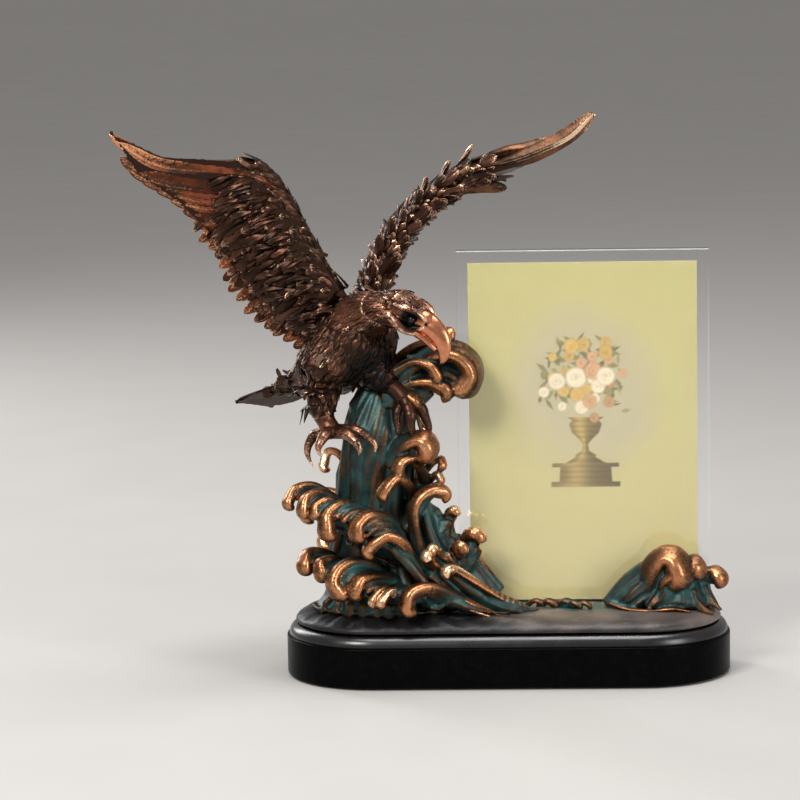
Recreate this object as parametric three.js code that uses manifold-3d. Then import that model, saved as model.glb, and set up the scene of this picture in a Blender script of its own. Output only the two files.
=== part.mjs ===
// An eagle landing on a breaking wave, cast and finished to look like patinated bronze, on a moulded
// plinth that also carries a lift-out clear photo holder with a portrait print.
// Millimetres, +Z up, +X to the right, +Y to the back. The origin is the middle of the underside.

import * as THREE from 'three';
import { mergeVertices } from 'three/addons/utils/BufferGeometryUtils.js';
import Module from 'manifold-3d';

const wasm = await Module();
wasm.setup();

// ---- Driving dimensions ----

// Base: a stadium outline, two straight sides between two half circles.
const PLINTH_LENGTH = 198;
const PLINTH_DEPTH = 80;
const PLINTH_TOP = 24.5;
const FELT_THICK = 1;
const FELT_INSET = 3;
const DECK_TOP = 30;
const END_RADIUS = PLINTH_DEPTH / 2;
const HALF_STRAIGHT = (PLINTH_LENGTH - PLINTH_DEPTH) / 2;
const END_STEPS = 14;

// Clearance left where one piece is cut to fit round another.
const GAP = 0.3;
// Taller than anything, for the tools that trim a solid.
const REACH = 400;

// Photo holder, for a print of 4 by 6 inches.
const PRINT_WIDTH = 101.6;
const PRINT_HEIGHT = 152.4;
const PRINT_THICK = 0.5;
const PRINT_BOTTOM = 30.5;
const HOLDER_X = 34.3;
const HOLDER_Y = 8;
const HOLDER_WIDTH = 112;
const HOLDER_TOP = 188.5;
const PANEL_THICK = 2.5;
const POCKET_THICK = 1;
const EDGE_STRIP_WIDTH = 4.8;
const STRIP_GAP = 0.1;
const SLOT_FLOOR = 20;
const SLOT_PLAY = 0.4;
// Free width kept in front of and behind the holder, all the way up.
const PASSAGE_PLAY = 0.9;

// Screws from below: a head in a counterbore and a shank into the castings.
const SCREW_HEAD_RADIUS = 4.2;
const SCREW_SHANK_RADIUS = 2;
const SCREW_HEAD_BOTTOM = 4.8;
const SCREW_SHOULDER = 8;
const SCREW_POINT = 1.5;
const SCREWS = {
  screw_left: { x: -60, y: -2, top: 44 },
  screw_middle: { x: 4, y: -14, top: 28.4 },
  screw_right: { x: 70, y: -7, top: 38 },
};

// Steel dowels that locate the separately cast pieces.
const PIN_RADIUS = 1.5;
const PIN_SIDES = 16;
const PINS = {
  right_wing_pin: { from: [-74, 1, 155], to: [-89, -4, 173] },
  left_wing_pin: { from: [-62, 5, 155], to: [-58, 20, 172] },
  tail_pin: { from: [-88, 15, 131], to: [-107, 35, 122.5] },
  body_pin: { from: [-64, 0, 96], to: [-64, 0, 140] },
};

// ---- Geometry helpers ----

const UP = new THREE.Vector3(0, 0, 1);
const vector = ([x, y, z]) => new THREE.Vector3(x, y, z);

/** Closed geometry through rings of equally many points, with a fan over each end. */
function loft(rings) {
  const count = rings[0].length;
  const points = rings.flat();
  const index = [];
  for (let ring = 0; ring + 1 < rings.length; ring += 1) {
    for (let i = 0; i < count; i += 1) {
      const a = ring * count + i;
      const b = ring * count + ((i + 1) % count);
      index.push(a, b, b + count, a, b + count, a + count);
    }
  }
  const last = (rings.length - 1) * count;
  const middle = (ring) => ring.reduce((sum, p) => sum.add(p), new THREE.Vector3()).divideScalar(count);
  const first_centre = points.push(middle(rings[0])) - 1;
  const last_centre = points.push(middle(rings[rings.length - 1])) - 1;
  for (let i = 0; i < count; i += 1) {
    const next = (i + 1) % count;
    index.push(first_centre, next, i, last_centre, last + i, last + next);
  }
  return facingOut(points, index);
}

/** Indexed geometry, with its triangles turned over if they face inwards. */
function facingOut(points, index) {
  let volume = 0;
  for (let i = 0; i < index.length; i += 3) {
    const [a, b, c] = [points[index[i]], points[index[i + 1]], points[index[i + 2]]];
    volume += a.dot(b.clone().cross(c));
  }
  const geometry = new THREE.BufferGeometry().setFromPoints(points);
  geometry.setIndex(volume < 0 ? [...index].reverse() : index);
  return geometry;
}

/** Points of the base's outline, moved in by inset, at height z. */
function outlineRing(inset, z) {
  const radius = END_RADIUS - inset;
  const ring = [];
  for (const [centre, start] of [[HALF_STRAIGHT, -Math.PI / 2], [-HALF_STRAIGHT, Math.PI / 2]]) {
    for (let i = 0; i <= END_STEPS; i += 1) {
      const angle = start + (Math.PI * i) / END_STEPS;
      ring.push(new THREE.Vector3(centre + radius * Math.cos(angle), radius * Math.sin(angle), z));
    }
  }
  return ring;
}

/** A moulding: profile points [inset, z] carried round the base's outline. */
function moulding(profile) {
  return loft(profile.map(([inset, z]) => outlineRing(inset, z)));
}

/** Value at t (0 to 1) of evenly spaced numbers, joined by straight lines. */
function along(values, t) {
  const place = t * (values.length - 1);
  const i = Math.min(Math.floor(place), values.length - 2);
  return THREE.MathUtils.lerp(values[i], values[i + 1], place - i);
}

/** A round or flattened limb along a smooth curve. grow makes it larger all over. */
function limb(points, radii, { flat = 1, sides = 8, grow = 0 } = {}) {
  const curve = new THREE.CatmullRomCurve3(points.map(vector));
  const steps = Math.max(4, Math.round((points.length - 1) * 1.7));
  const rings = [];
  for (let step = 0; step <= steps; step += 1) {
    const t = step / steps;
    const tangent = curve.getTangent(t);
    const reference = Math.abs(tangent.z) > 0.95 ? new THREE.Vector3(0, 1, 0) : UP;
    const side = reference.clone().cross(tangent).normalize();
    const rise = tangent.clone().cross(side);
    const centre = curve.getPoint(t);
    if (step === 0) centre.addScaledVector(tangent, -grow);
    if (step === steps) centre.addScaledVector(tangent, grow);
    const radius = along(radii, t);
    rings.push(ellipse(centre, side, rise, radius + grow, radius * flat + grow, sides));
  }
  return loft(rings);
}

function ellipse(centre, side, rise, wide, high, sides) {
  const ring = [];
  for (let i = 0; i < sides; i += 1) {
    const angle = (2 * Math.PI * i) / sides;
    const point = centre.clone().addScaledVector(side, wide * Math.cos(angle));
    ring.push(point.addScaledVector(rise, high * Math.sin(angle)));
  }
  return ring;
}

/** A trunk of level ellipses: each level is [z, x, y, half width, half depth]. */
function trunk(levels, grow, sides = 14) {
  const side = new THREE.Vector3(1, 0, 0);
  const rise = new THREE.Vector3(0, 1, 0);
  const last = levels.length - 1;
  const lift = (i) => (i === last ? grow : 0) - (i === 0 ? grow : 0);
  return loft(levels.map(([z, x, y, wide, deep], i) => (
    ellipse(vector([x, y, z + lift(i)]), side, rise, wide + grow, deep + grow, sides))));
}

// A lens across a feathered blade: fraction of the chord from the leading edge, part of the thickness.
const LENS = [[0, 0.3], [0.22, 0.5], [0.6, 0.36], [1, 0.1], [1, -0.1], [0.6, -0.36], [0.22, -0.5], [0, -0.3]];

/** A wing or tail: stations of leading edge, trailing edge and thickness. */
function blade(stations, grow) {
  const rings = stations.map(({ lead, trail, thick }, i) => {
    const chord = vector(trail).sub(vector(lead));
    const before = stations[Math.max(0, i - 1)];
    const after = stations[Math.min(stations.length - 1, i + 1)];
    const span = vector(after.lead).add(vector(after.trail)).sub(vector(before.lead)).sub(vector(before.trail));
    const normal = chord.clone().cross(span).normalize();
    const outwards = span.normalize().multiplyScalar(i === 0 ? -grow : grow * (i === stations.length - 1));
    const stretch = 1 + (2 * grow) / chord.length();
    return LENS.map(([fraction, height]) => {
      const place = 0.5 + (fraction - 0.5) * stretch;
      const point = vector(lead).addScaledVector(chord, place).add(outwards);
      return point.addScaledVector(normal, height * (thick + 2 * grow));
    });
  });
  return loft(rings);
}

function box([x0, x1], [y0, y1], [z0, z1]) {
  const geometry = new THREE.BoxGeometry(x1 - x0, y1 - y0, z1 - z0);
  return geometry.translate((x0 + x1) / 2, (y0 + y1) / 2, (z0 + z1) / 2);
}

/** A round rod between two points, with an optional extra radius and length. */
function rod(from, to, radius, grow = 0) {
  const start = vector(from);
  const axis = vector(to).sub(start);
  const length = axis.length() + 2 * grow;
  const geometry = new THREE.CylinderGeometry(radius + grow, radius + grow, length, PIN_SIDES);
  const turn = new THREE.Quaternion().setFromUnitVectors(new THREE.Vector3(0, 1, 0), axis.clone().normalize());
  geometry.applyQuaternion(turn);
  const middle = start.addScaledVector(axis, 0.5);
  return geometry.translate(middle.x, middle.y, middle.z);
}

// ---- Joining and cutting ----

function solidOf(source) {
  let geometry = source.clone();
  geometry.deleteAttribute('normal');
  geometry.deleteAttribute('uv');
  geometry = mergeVertices(geometry, 1e-4);
  return new wasm.Manifold(new wasm.Mesh({
    numProp: 3,
    vertProperties: new Float32Array(geometry.attributes.position.array),
    triVerts: new Uint32Array(geometry.index.array),
  }));
}

function geometryOf(solid) {
  const { vertProperties, triVerts } = solid.getMesh();
  const geometry = new THREE.BufferGeometry();
  geometry.setAttribute('position', new THREE.BufferAttribute(new Float32Array(vertProperties), 3));
  geometry.setIndex(new THREE.BufferAttribute(new Uint32Array(triVerts), 1));
  return geometry;
}

const joined = (geometries) => geometries.map(solidOf).reduce((whole, piece) => whole.add(piece));

/** What is left of a solid after the cuts: its largest piece, without slivers. */
function cut(solid, cutters) {
  const left = cutters.reduce((rest, cutter) => rest.subtract(cutter), solid);
  return left.decompose().reduce((best, piece) => (piece.volume() > best.volume() ? piece : best));
}

// ---- Castings: each is a function of grow, so that a neighbour can be cut with clearance ----

const casting = {};

casting.eagle_body = (grow) => joined([
  limb(
    [[-55, -11, 157.5], [-61, -7, 154], [-69, 0, 148], [-77.5, 9, 139], [-86.5, 17, 130.5], [-93, 22, 126]],
    [13, 18, 20, 16.5, 11, 6],
    { sides: 14, grow },
  ),
  // Near thigh, the bird's right.
  limb([[-72, -4, 149], [-80, -11, 139], [-82.5, -13, 128], [-79.5, -14, 118]], [15, 14, 11.5, 7], { sides: 10, grow }),
  // Far thigh, the bird's left.
  limb([[-62, -2, 145], [-56, -8, 137], [-50, -11, 131]], [13, 10, 7], { grow }),
]);

casting.eagle_head = (grow) => joined([
  limb(
    [[-66, -6, 157], [-58, -14, 163.5], [-50, -20, 166], [-43, -25, 165.5], [-37, -29, 163]],
    [16, 15, 12.5, 10.5, 6.5],
    { sides: 12, grow },
  ),
  // Beak.
  limb([[-41, -26.5, 163], [-34, -31, 160], [-28.5, -34.5, 154], [-26.5, -36, 146]], [7, 6, 4, 0.9], { grow }),
]);

casting.tail_fan = (grow) => solidOf(blade([
  { lead: [-90, 8, 134], trail: [-80, 22, 130], thick: 8 },
  { lead: [-106, 24, 126], trail: [-88, 38, 121], thick: 6 },
  { lead: [-117, 36, 120.5], trail: [-96, 50, 115.5], thick: 4 },
  { lead: [-125, 45, 115.5], trail: [-108, 58, 112], thick: 2 },
], grow));

casting.right_wing = (grow) => solidOf(blade([
  { lead: [-66, -6, 168], trail: [-84, 6, 144], thick: 15 },
  { lead: [-75, -10, 182], trail: [-96, 5, 153], thick: 13 },
  { lead: [-82, -15, 197], trail: [-107, 2, 161], thick: 11 },
  { lead: [-89, -20, 212.5], trail: [-116, -3, 175], thick: 9.5 },
  { lead: [-96, -25, 225], trail: [-122.5, -8, 188], thick: 8 },
  { lead: [-106, -29, 234], trail: [-130, -13, 199.5], thick: 7 },
  { lead: [-122, -32, 234.5], trail: [-143, -20, 214.5], thick: 5 },
  { lead: [-146, -37, 236.5], trail: [-159, -30, 227.5], thick: 3.2 },
  { lead: [-169, -43, 248.5], trail: [-168, -41, 243.5], thick: 1.8 },
], grow));

casting.left_wing = (grow) => solidOf(blade([
  { lead: [-57, 0, 164], trail: [-73, 20, 148], thick: 15 },
  { lead: [-55.5, 4, 179], trail: [-61, 40, 168], thick: 13.5 },
  { lead: [-48.5, 9, 193.5], trail: [-53, 49, 185.5], thick: 13 },
  { lead: [-37.5, 14, 206.5], trail: [-42, 55, 199.5], thick: 12.5 },
  { lead: [-23.5, 19, 216], trail: [-28, 59, 209], thick: 12 },
  { lead: [-11.5, 22, 222], trail: [-16, 61, 216], thick: 12 },
  { lead: [5, 25, 225], trail: [2, 60, 220.5], thick: 8 },
  { lead: [21.5, 29, 232], trail: [19, 52, 229], thick: 4.5 },
  { lead: [41.3, 34, 246], trail: [41, 38, 245.5], thick: 2 },
], grow));

/** A foot: an ankle, then toes as [knuckle, end, talon point]. */
function foot(ankle, hub, toes, grow) {
  const parts = [limb([...ankle, hub], [4.6, 4, 4.2], { grow })];
  for (const [knuckle, end, talon] of toes) {
    parts.push(limb([hub, knuckle, end, talon], [3.4, 3, 2.4, 0.7], { sides: 6, grow }));
  }
  return joined(parts);
}

casting.right_foot = (grow) => foot([[-80, -14, 121], [-78, -14, 115.5]], [-75.5, -16, 111], [
  [[-67, -20, 112.5], [-60.5, -22.5, 109], [-57, -23.5, 104]],
  [[-70, -22.5, 111], [-66.5, -26, 107.5], [-64.5, -26, 103]],
  [[-79, -21, 110.5], [-81.5, -24, 107.5], [-81.5, -24, 103]],
  [[-84, -11, 109.5], [-87, -10, 105], [-85.5, -12, 95]],
], grow);

casting.left_foot = (grow) => foot([[-54, -9, 134.5], [-46.5, -12, 129]], [-43.5, -13, 125], [
  [[-38, -15, 121.5], [-35.5, -15, 115], [-34, -14, 108.5]],
  [[-42, -18, 119], [-42, -19, 113.5], [-41.5, -18, 108.5]],
], grow);

casting.wave_column = (grow) => solidOf(trunk([
  [DECK_TOP - 4, -52, -4, 42, 28],
  [37, -56, -3, 28, 22],
  [50, -58, -1, 22, 18],
  [65, -59, 0, 19, 16],
  [82, -58, 0, 18, 15],
  [98, -57, -1, 18, 15],
  [110, -57, -1, 17, 14],
  [121, -56, 0, 14, 11],
  [131, -55, 2, 9, 8],
], grow));

casting.wave_crest = (grow) => joined([
  limb(
    [[-54, 2, 116], [-50, 0, 129], [-44, -5, 139], [-34, -8, 143], [-24, -8.5, 141], [-17, -8.5, 134], [-22, -9, 128]],
    [11, 10.5, 9.5, 8, 7.5, 7, 4],
    { sides: 10, grow },
  ),
]);

casting.upper_breaker = (grow) => joined([
  limb([[-62, -4, 64], [-76, -9, 77], [-88, -12, 83], [-96, -14, 81.5], [-98.5, -15, 76]], [10, 8.5, 6.5, 5, 3], { flat: 0.8, grow }),
  limb([[-62, -8, 63], [-75, -13, 74], [-84, -16, 78], [-89.5, -18, 73.5]], [9, 8, 6, 4], { flat: 0.8, grow }),
  limb([[-60, -10, 61], [-71, -18, 72], [-79, -22, 73], [-81, -24, 66]], [9, 7.5, 6, 4], { grow }),
  limb([[-56, -12, 57], [-64, -21, 67], [-68, -27, 66.5], [-69.5, -28, 61.5]], [9, 7, 5.5, 3.5], { grow }),
  limb([[-50, -12, 54], [-53, -23, 65], [-58, -30.5, 64], [-61, -32, 59.5]], [9, 6.5, 5, 3], { grow }),
  limb([[-56, -26, 65], [-47, -29.5, 58.5], [-38, -30, 48], [-29, -29, 37]], [4.5, 4.5, 4.5, 4], { sides: 6, grow }),
]);

casting.lower_breaker = (grow) => joined([
  limb([[-60, -6, 40], [-76, -10, 51], [-85.5, -13, 53], [-88.5, -14, 47]], [9, 7, 5.5, 4], { flat: 0.85, grow }),
  limb([[-60, -9, 38], [-73, -15, 48], [-80.5, -18.5, 50], [-82.5, -20, 44.5]], [9, 7, 5, 3.8], { flat: 0.85, grow }),
  limb([[-56, -12, 36], [-67, -20, 46], [-74, -25.5, 46], [-76, -27.5, 39.5]], [9, 7.5, 6.2, 4.5], { grow }),
  limb([[-52, -14, 36], [-60, -24, 43], [-65.5, -29.5, 42.5], [-66.5, -30.5, 36.5]], [9, 7, 5, 3.6], { grow }),
  limb([[-46, -14, 35], [-51, -27, 40.5], [-56.5, -32, 39.5], [-58, -32.5, 34.5]], [9, 6.5, 4.6, 3], { grow }),
  limb([[-32, -14, 33], [-35, -26, 40], [-41.5, -32, 40], [-44.5, -33, 35.5]], [9, 7, 5.4, 3.6], { grow }),
  limb([[-38, -25, 38], [-27, -28, 38], [-14, -26, 33], [2, -25, 29]], [6, 5, 4, 3], { sides: 6, grow }),
]);

casting.flank_breaker = (grow) => joined([
  // Main sheet of water running down the right flank to the deck.
  limb([[-44, -8, 74], [-32, -10, 56], [-20, -12, 42], [-4, -14, 33], [14, -14, 27]], [8, 10, 9, 7, 5], { flat: 0.8, grow }),
  limb([[-40, -6, 90], [-36, -8, 76], [-26, -9, 60], [-16, -9, 46], [-6, -9, 34]], [6, 8, 8, 8, 7], { flat: 0.8, grow }),
  // Curls, from the top down.
  limb([[-50, -6, 90], [-47, -9, 99], [-41, -11, 104.5], [-36, -11, 102.5]], [7, 6.5, 5.5, 4], { grow }),
  limb([[-52, -10, 80], [-50.5, -15, 90], [-46, -17, 96], [-41.5, -17, 97]], [7, 5, 4.2, 3], { sides: 6, grow }),
  limb([[-45, -11, 62], [-42, -16, 74], [-36, -15, 83], [-28, -12, 86]], [7, 6, 5, 4], { grow }),
  limb([[-34, -10, 56], [-28, -13, 66], [-24.5, -13, 72]], [7, 5, 3], { sides: 6, grow }),
  limb([[-26, -11, 42], [-18, -13, 54], [-13.5, -12, 60]], [8, 7, 5], { grow }),
  limb([[-38, -14, 42], [-35, -22, 54], [-32.5, -25, 57.5]], [7, 6, 4], { grow }),
]);

casting.small_breaker = (grow) => joined([
  limb([[44, -7, 29], [54, -6, 37], [65, -6, 44], [75, -6, 45], [83, -5, 42]], [5, 8, 9, 9.5, 6], { sides: 10, grow }),
  limb([[76, -5, 44], [85, -5, 44.5], [91, -5, 42.5], [95.5, -5, 39.5]], [7, 5.5, 4, 2.8], { grow }),
  limb([[60, -8, 31], [76, -8, 34], [90, -5, 29]], [8, 12, 6], { flat: 0.8, grow }),
]);

const ripple = (x, y) => (grow) => solidOf(
  limb([[x - 6, y + 1, 29], [x - 1, y, 32], [x + 6, y - 2, 29.5]], [2.2, 2.8, 1.8], { sides: 6, grow }));
casting.ripple_left = ripple(16, -4);
casting.ripple_right = ripple(28, -7);

// ---- Fitting the castings together ----

// In this order, each is cut back from those before it.
const FITTING_ORDER = [
  'eagle_body', 'eagle_head', 'tail_fan', 'right_wing', 'left_wing', 'right_foot', 'left_foot',
  'wave_column', 'wave_crest', 'upper_breaker', 'lower_breaker', 'flank_breaker',
  'small_breaker', 'ripple_left', 'ripple_right',
];

const holder = {
  x0: HOLDER_X - HOLDER_WIDTH / 2,
  x1: HOLDER_X + HOLDER_WIDTH / 2,
  y0: HOLDER_Y - POCKET_THICK / 2 - PANEL_THICK,
  y1: HOLDER_Y + POCKET_THICK / 2 + PANEL_THICK,
};

const around = (play, z0, z1) => solidOf(box(
  [holder.x0 - play, holder.x1 + play], [holder.y0 - play, holder.y1 + play], [z0, z1]));

const passage = around(PASSAGE_PLAY, 0, REACH);
const slot = around(SLOT_PLAY, SLOT_FLOOR, REACH);
const below_deck = solidOf(box([-REACH, REACH], [-REACH, REACH], [-REACH, DECK_TOP]));

const screwBore = ({ x, y, top }) => solidOf(rod([x, y, -1], [x, y, top], SCREW_SHANK_RADIUS, GAP));
const pinBore = ({ from, to }) => solidOf(rod(from, to, PIN_RADIUS, GAP));
const bores = [...Object.values(SCREWS).map(screwBore), ...Object.values(PINS).map(pinBore)];

const fitted = {};
FITTING_ORDER.forEach((name, i) => {
  const neighbours = FITTING_ORDER.slice(0, i).map((earlier) => casting[earlier](GAP));
  fitted[name] = cut(casting[name](0), [...neighbours, below_deck, passage, ...bores]);
});

fitted.sea_deck = cut(
  solidOf(moulding([[4.8, PLINTH_TOP], [4.3, 26.2], [5, 28.2], [8, 29.5], [13, DECK_TOP]])),
  [slot, ...bores],
);

const counterbore = ({ x, y }) => solidOf(
  rod([x, y, -1], [x, y, SCREW_SHOULDER], SCREW_HEAD_RADIUS + GAP));
fitted.plinth = cut(
  solidOf(moulding([
    [0.8, FELT_THICK], [0, 1.9], [0, 18.2], [0.9, 18.6], [1.1, 20.4], [1.7, 22.2], [2.9, 23.7], [4.4, PLINTH_TOP],
  ])),
  [slot, ...Object.values(SCREWS).map(counterbore), ...bores],
);

// ---- The assembly ----

const statuette = new THREE.Group();

function add(name, geometry, [color, roughness, metalness]) {
  const mesh = new THREE.Mesh(geometry, new THREE.MeshStandardMaterial({ color, roughness, metalness }));
  mesh.name = name;
  statuette.add(mesh);
  return mesh;
}

const FINISH = {
  bronze: ['#5a3a28', 0.4, 0.8],
  copper: ['#7a4a30', 0.35, 0.85],
  patina: ['#3b4a42', 0.5, 0.6],
  black: ['#0b0b0c', 0.15, 0],
  felt: ['#1c1c1e', 1, 0],
  steel: ['#9a9da0', 0.35, 1],
  clear: ['#dfe6ea', 0.05, 0],
  print: ['#d9dc96', 0.5, 0],
};

const finishOf = (name) => {
  if (name === 'plinth') return FINISH.black;
  if (name === 'eagle_head' || name.endsWith('_foot')) return FINISH.copper;
  return /wave|breaker|deck|ripple/.test(name) ? FINISH.patina : FINISH.bronze;
};
for (const [name, solid] of Object.entries(fitted)) add(name, geometryOf(solid), finishOf(name));

add('base_felt', moulding([[FELT_INSET, 0], [FELT_INSET, FELT_THICK]]), FINISH.felt);

for (const [name, { x, y, top }] of Object.entries(SCREWS)) {
  const profile = [
    [0, SCREW_HEAD_BOTTOM], [SCREW_HEAD_RADIUS, SCREW_HEAD_BOTTOM], [SCREW_HEAD_RADIUS, SCREW_SHOULDER],
    [SCREW_SHANK_RADIUS, SCREW_SHOULDER], [SCREW_SHANK_RADIUS, top - SCREW_POINT], [0, top],
  ];
  const outline = profile.map(([radius, z]) => new THREE.Vector2(radius, z));
  const screw = add(name, new THREE.LatheGeometry(outline, PIN_SIDES), FINISH.steel);
  screw.rotation.x = Math.PI / 2;
  screw.position.set(x, y, 0);
}

for (const [name, { from, to }] of Object.entries(PINS)) {
  add(name, rod(from, to, PIN_RADIUS), FINISH.steel);
}

const holder_bottom = SLOT_FLOOR + GAP;
const pocket_y = [HOLDER_Y - POCKET_THICK / 2, HOLDER_Y + POCKET_THICK / 2];
const full_width = [holder.x0, holder.x1];
const full_height = [holder_bottom, HOLDER_TOP];
const inner_x0 = holder.x0 + EDGE_STRIP_WIDTH;
const inner_x1 = holder.x1 - EDGE_STRIP_WIDTH;

add('sleeve_front', box(full_width, [holder.y0, pocket_y[0]], full_height), FINISH.clear);
add('sleeve_rear', box(full_width, [pocket_y[1], holder.y1], full_height), FINISH.clear);
add('sleeve_left_strip', box([holder.x0, inner_x0], pocket_y, full_height), FINISH.clear);
add('sleeve_right_strip', box([inner_x1, holder.x1], pocket_y, full_height), FINISH.clear);
add('sleeve_bottom_strip', box([inner_x0 + STRIP_GAP, inner_x1 - STRIP_GAP], pocket_y, [holder_bottom, PRINT_BOTTOM]), FINISH.clear);

add('photo_print', box(
  [HOLDER_X - PRINT_WIDTH / 2, HOLDER_X + PRINT_WIDTH / 2],
  [HOLDER_Y - PRINT_THICK / 2, HOLDER_Y + PRINT_THICK / 2],
  [PRINT_BOTTOM, PRINT_BOTTOM + PRINT_HEIGHT],
), FINISH.print);

export default statuette;
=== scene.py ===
"""An eagle landing on a breaking wave, bronze finish, on a black plinth with a lift-out clear photo holder.

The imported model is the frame. Castings are sculpted here around it: each form is laid out by percentages
of its CAD node's box or by the node's own surface, then swept, joined and finished. Lengths are in metres.
"""

import itertools
import math

import bmesh
import bpy
import numpy as np
from mathutils import Matrix, Vector
from mathutils.bvhtree import BVHTree
from mathutils.kdtree import KDTree


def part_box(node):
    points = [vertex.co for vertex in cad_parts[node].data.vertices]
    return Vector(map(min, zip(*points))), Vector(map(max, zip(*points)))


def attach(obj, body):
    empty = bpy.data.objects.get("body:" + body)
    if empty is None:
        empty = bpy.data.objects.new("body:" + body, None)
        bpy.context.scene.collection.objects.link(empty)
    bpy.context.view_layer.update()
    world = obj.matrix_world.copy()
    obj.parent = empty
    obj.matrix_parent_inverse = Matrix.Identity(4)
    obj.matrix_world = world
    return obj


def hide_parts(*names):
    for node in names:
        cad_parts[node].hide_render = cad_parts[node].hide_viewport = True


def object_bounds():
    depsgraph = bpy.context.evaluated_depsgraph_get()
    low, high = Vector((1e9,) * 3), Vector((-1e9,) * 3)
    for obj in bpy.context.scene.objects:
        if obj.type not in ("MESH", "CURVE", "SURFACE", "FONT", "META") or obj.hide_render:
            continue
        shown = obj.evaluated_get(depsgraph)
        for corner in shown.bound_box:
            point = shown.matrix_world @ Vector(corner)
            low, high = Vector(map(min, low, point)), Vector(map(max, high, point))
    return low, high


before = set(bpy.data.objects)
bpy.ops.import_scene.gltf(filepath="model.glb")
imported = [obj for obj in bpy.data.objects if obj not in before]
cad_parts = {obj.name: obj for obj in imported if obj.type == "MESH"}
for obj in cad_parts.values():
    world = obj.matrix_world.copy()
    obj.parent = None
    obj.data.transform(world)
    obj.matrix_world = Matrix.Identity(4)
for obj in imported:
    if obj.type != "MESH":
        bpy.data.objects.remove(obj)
cad_low, cad_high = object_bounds()

MM = 0.001
UP = np.array([0.0, 0.0, 1.0])


# ---------------------------------------------------------------- places

def node_box(node):
    low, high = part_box(node)
    return np.array(low), np.array(high)


def spot(node, *percent):
    """The point at these percentages of a node's box, along X, Y and Z."""
    low, high = node_box(node)
    return low + (high - low) * (np.array(percent) / 100)


def spots(node, places):
    return np.array([spot(node, *place) for place in places])


def polygons(mesh):
    return [list(p.vertices) for p in mesh.polygons]


# ---------------------------------------------------------------- curves and swept solids

def unit(v):
    v = np.asarray(v, float)
    return v / np.maximum(np.linalg.norm(v, axis=-1, keepdims=True), 1e-12)


def curve_at(points, place):
    """Points along a smooth curve through the given ones; the first is at place 0, the next at 1."""
    i = np.minimum(place.astype(int), len(points) - 2)
    f = (place - i)[:, None]
    ends = np.vstack([2 * points[0] - points[1], points, 2 * points[-1] - points[-2]])
    a, b, c, d = ends[i], ends[i + 1], ends[i + 2], ends[i + 3]
    return 0.5 * (2 * b + (c - a) * f + (2 * a - 5 * b + 4 * c - d) * f**2 + (3 * b - a - 3 * c + d) * f**3)


def spline(values, count):
    """Values, or points, at evenly spaced places along a smooth curve through the given ones."""
    values = np.asarray(values, float)
    points = values.reshape(len(values), -1)
    curve = curve_at(points, np.linspace(0, len(points) - 1, count))
    return curve[:, 0] if values.ndim == 1 else curve


def spline_at(points, share):
    """One point at this share (0 to 1) of the way along a smooth curve through the points."""
    return curve_at(points, np.array([np.clip(share, 0.0, 1.0) * (len(points) - 1)]))[0]


def frames(path, reference):
    """Unit tangent, side and rise along a sampled path, carried along it without twisting."""
    tangent = unit(np.gradient(path, axis=0))
    side = np.empty_like(path)
    side[0] = unit(np.cross(reference, tangent[0]))
    for i in range(1, len(path)):
        side[i] = unit(side[i - 1] - tangent[i] * side[i - 1].dot(tangent[i]))
    return tangent, side, np.cross(tangent, side)


class Batch:
    """Gathers closed pieces of surface into one mesh, with three marks on each vertex."""

    def __init__(self):
        self.vertices, self.faces, self.marks, self.count = [], [], [], 0

    def add(self, vertices, faces, marks=(0.0, 0.0, 0.0)):
        vertices = np.asarray(vertices, float)
        self.vertices.append(vertices)
        self.marks.append(np.broadcast_to(np.asarray(marks, float), (len(vertices), 3)))
        self.faces += [[i + self.count for i in face] for face in faces]
        self.count += len(vertices)

    def build(self, name):
        mesh = bpy.data.meshes.new(name)
        mesh.from_pydata(np.vstack(self.vertices).tolist(), [], self.faces)
        mesh.update()
        write_marks(mesh, np.vstack(self.marks))
        return placed(name, mesh)

    def finish(self, name, material, slot, node, angle=60):
        """Builds the piece, which stands for a CAD node of the statuette."""
        finish_piece(shade_smooth(self.build(name), angle), material, "statuette", slot, node)


def placed(name, data):
    """A new object in the scene that holds this mesh, light or camera."""
    made = bpy.data.objects.new(name, data)
    bpy.context.scene.collection.objects.link(made)
    return made


def write_marks(mesh, marks):
    """Stores three marks for each vertex as a colour that the materials read."""
    layer = mesh.color_attributes.get("marks") or mesh.color_attributes.new("marks", "FLOAT_COLOR", "POINT")
    colour = np.ones((len(mesh.vertices), 4), np.float32)
    colour[:, :3] = np.clip(marks, 0, 1)
    layer.data.foreach_set("color", colour.ravel())


def grid_faces(rows, columns, closed):
    """Quads over rows by columns of points. closed joins the last column to the first."""
    faces = []
    for r in range(rows - 1):
        for c in range(columns if closed else columns - 1):
            n = (c + 1) % columns
            faces.append([r * columns + c, r * columns + n, (r + 1) * columns + n, (r + 1) * columns + c])
    return faces


def capped_faces(rows, columns):
    """The faces of a closed solid made of rings, with one face over each end."""
    first, last = list(range(columns)), [i + (rows - 1) * columns for i in range(columns)]
    return [*grid_faces(rows, columns, True), first[::-1], last]


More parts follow.
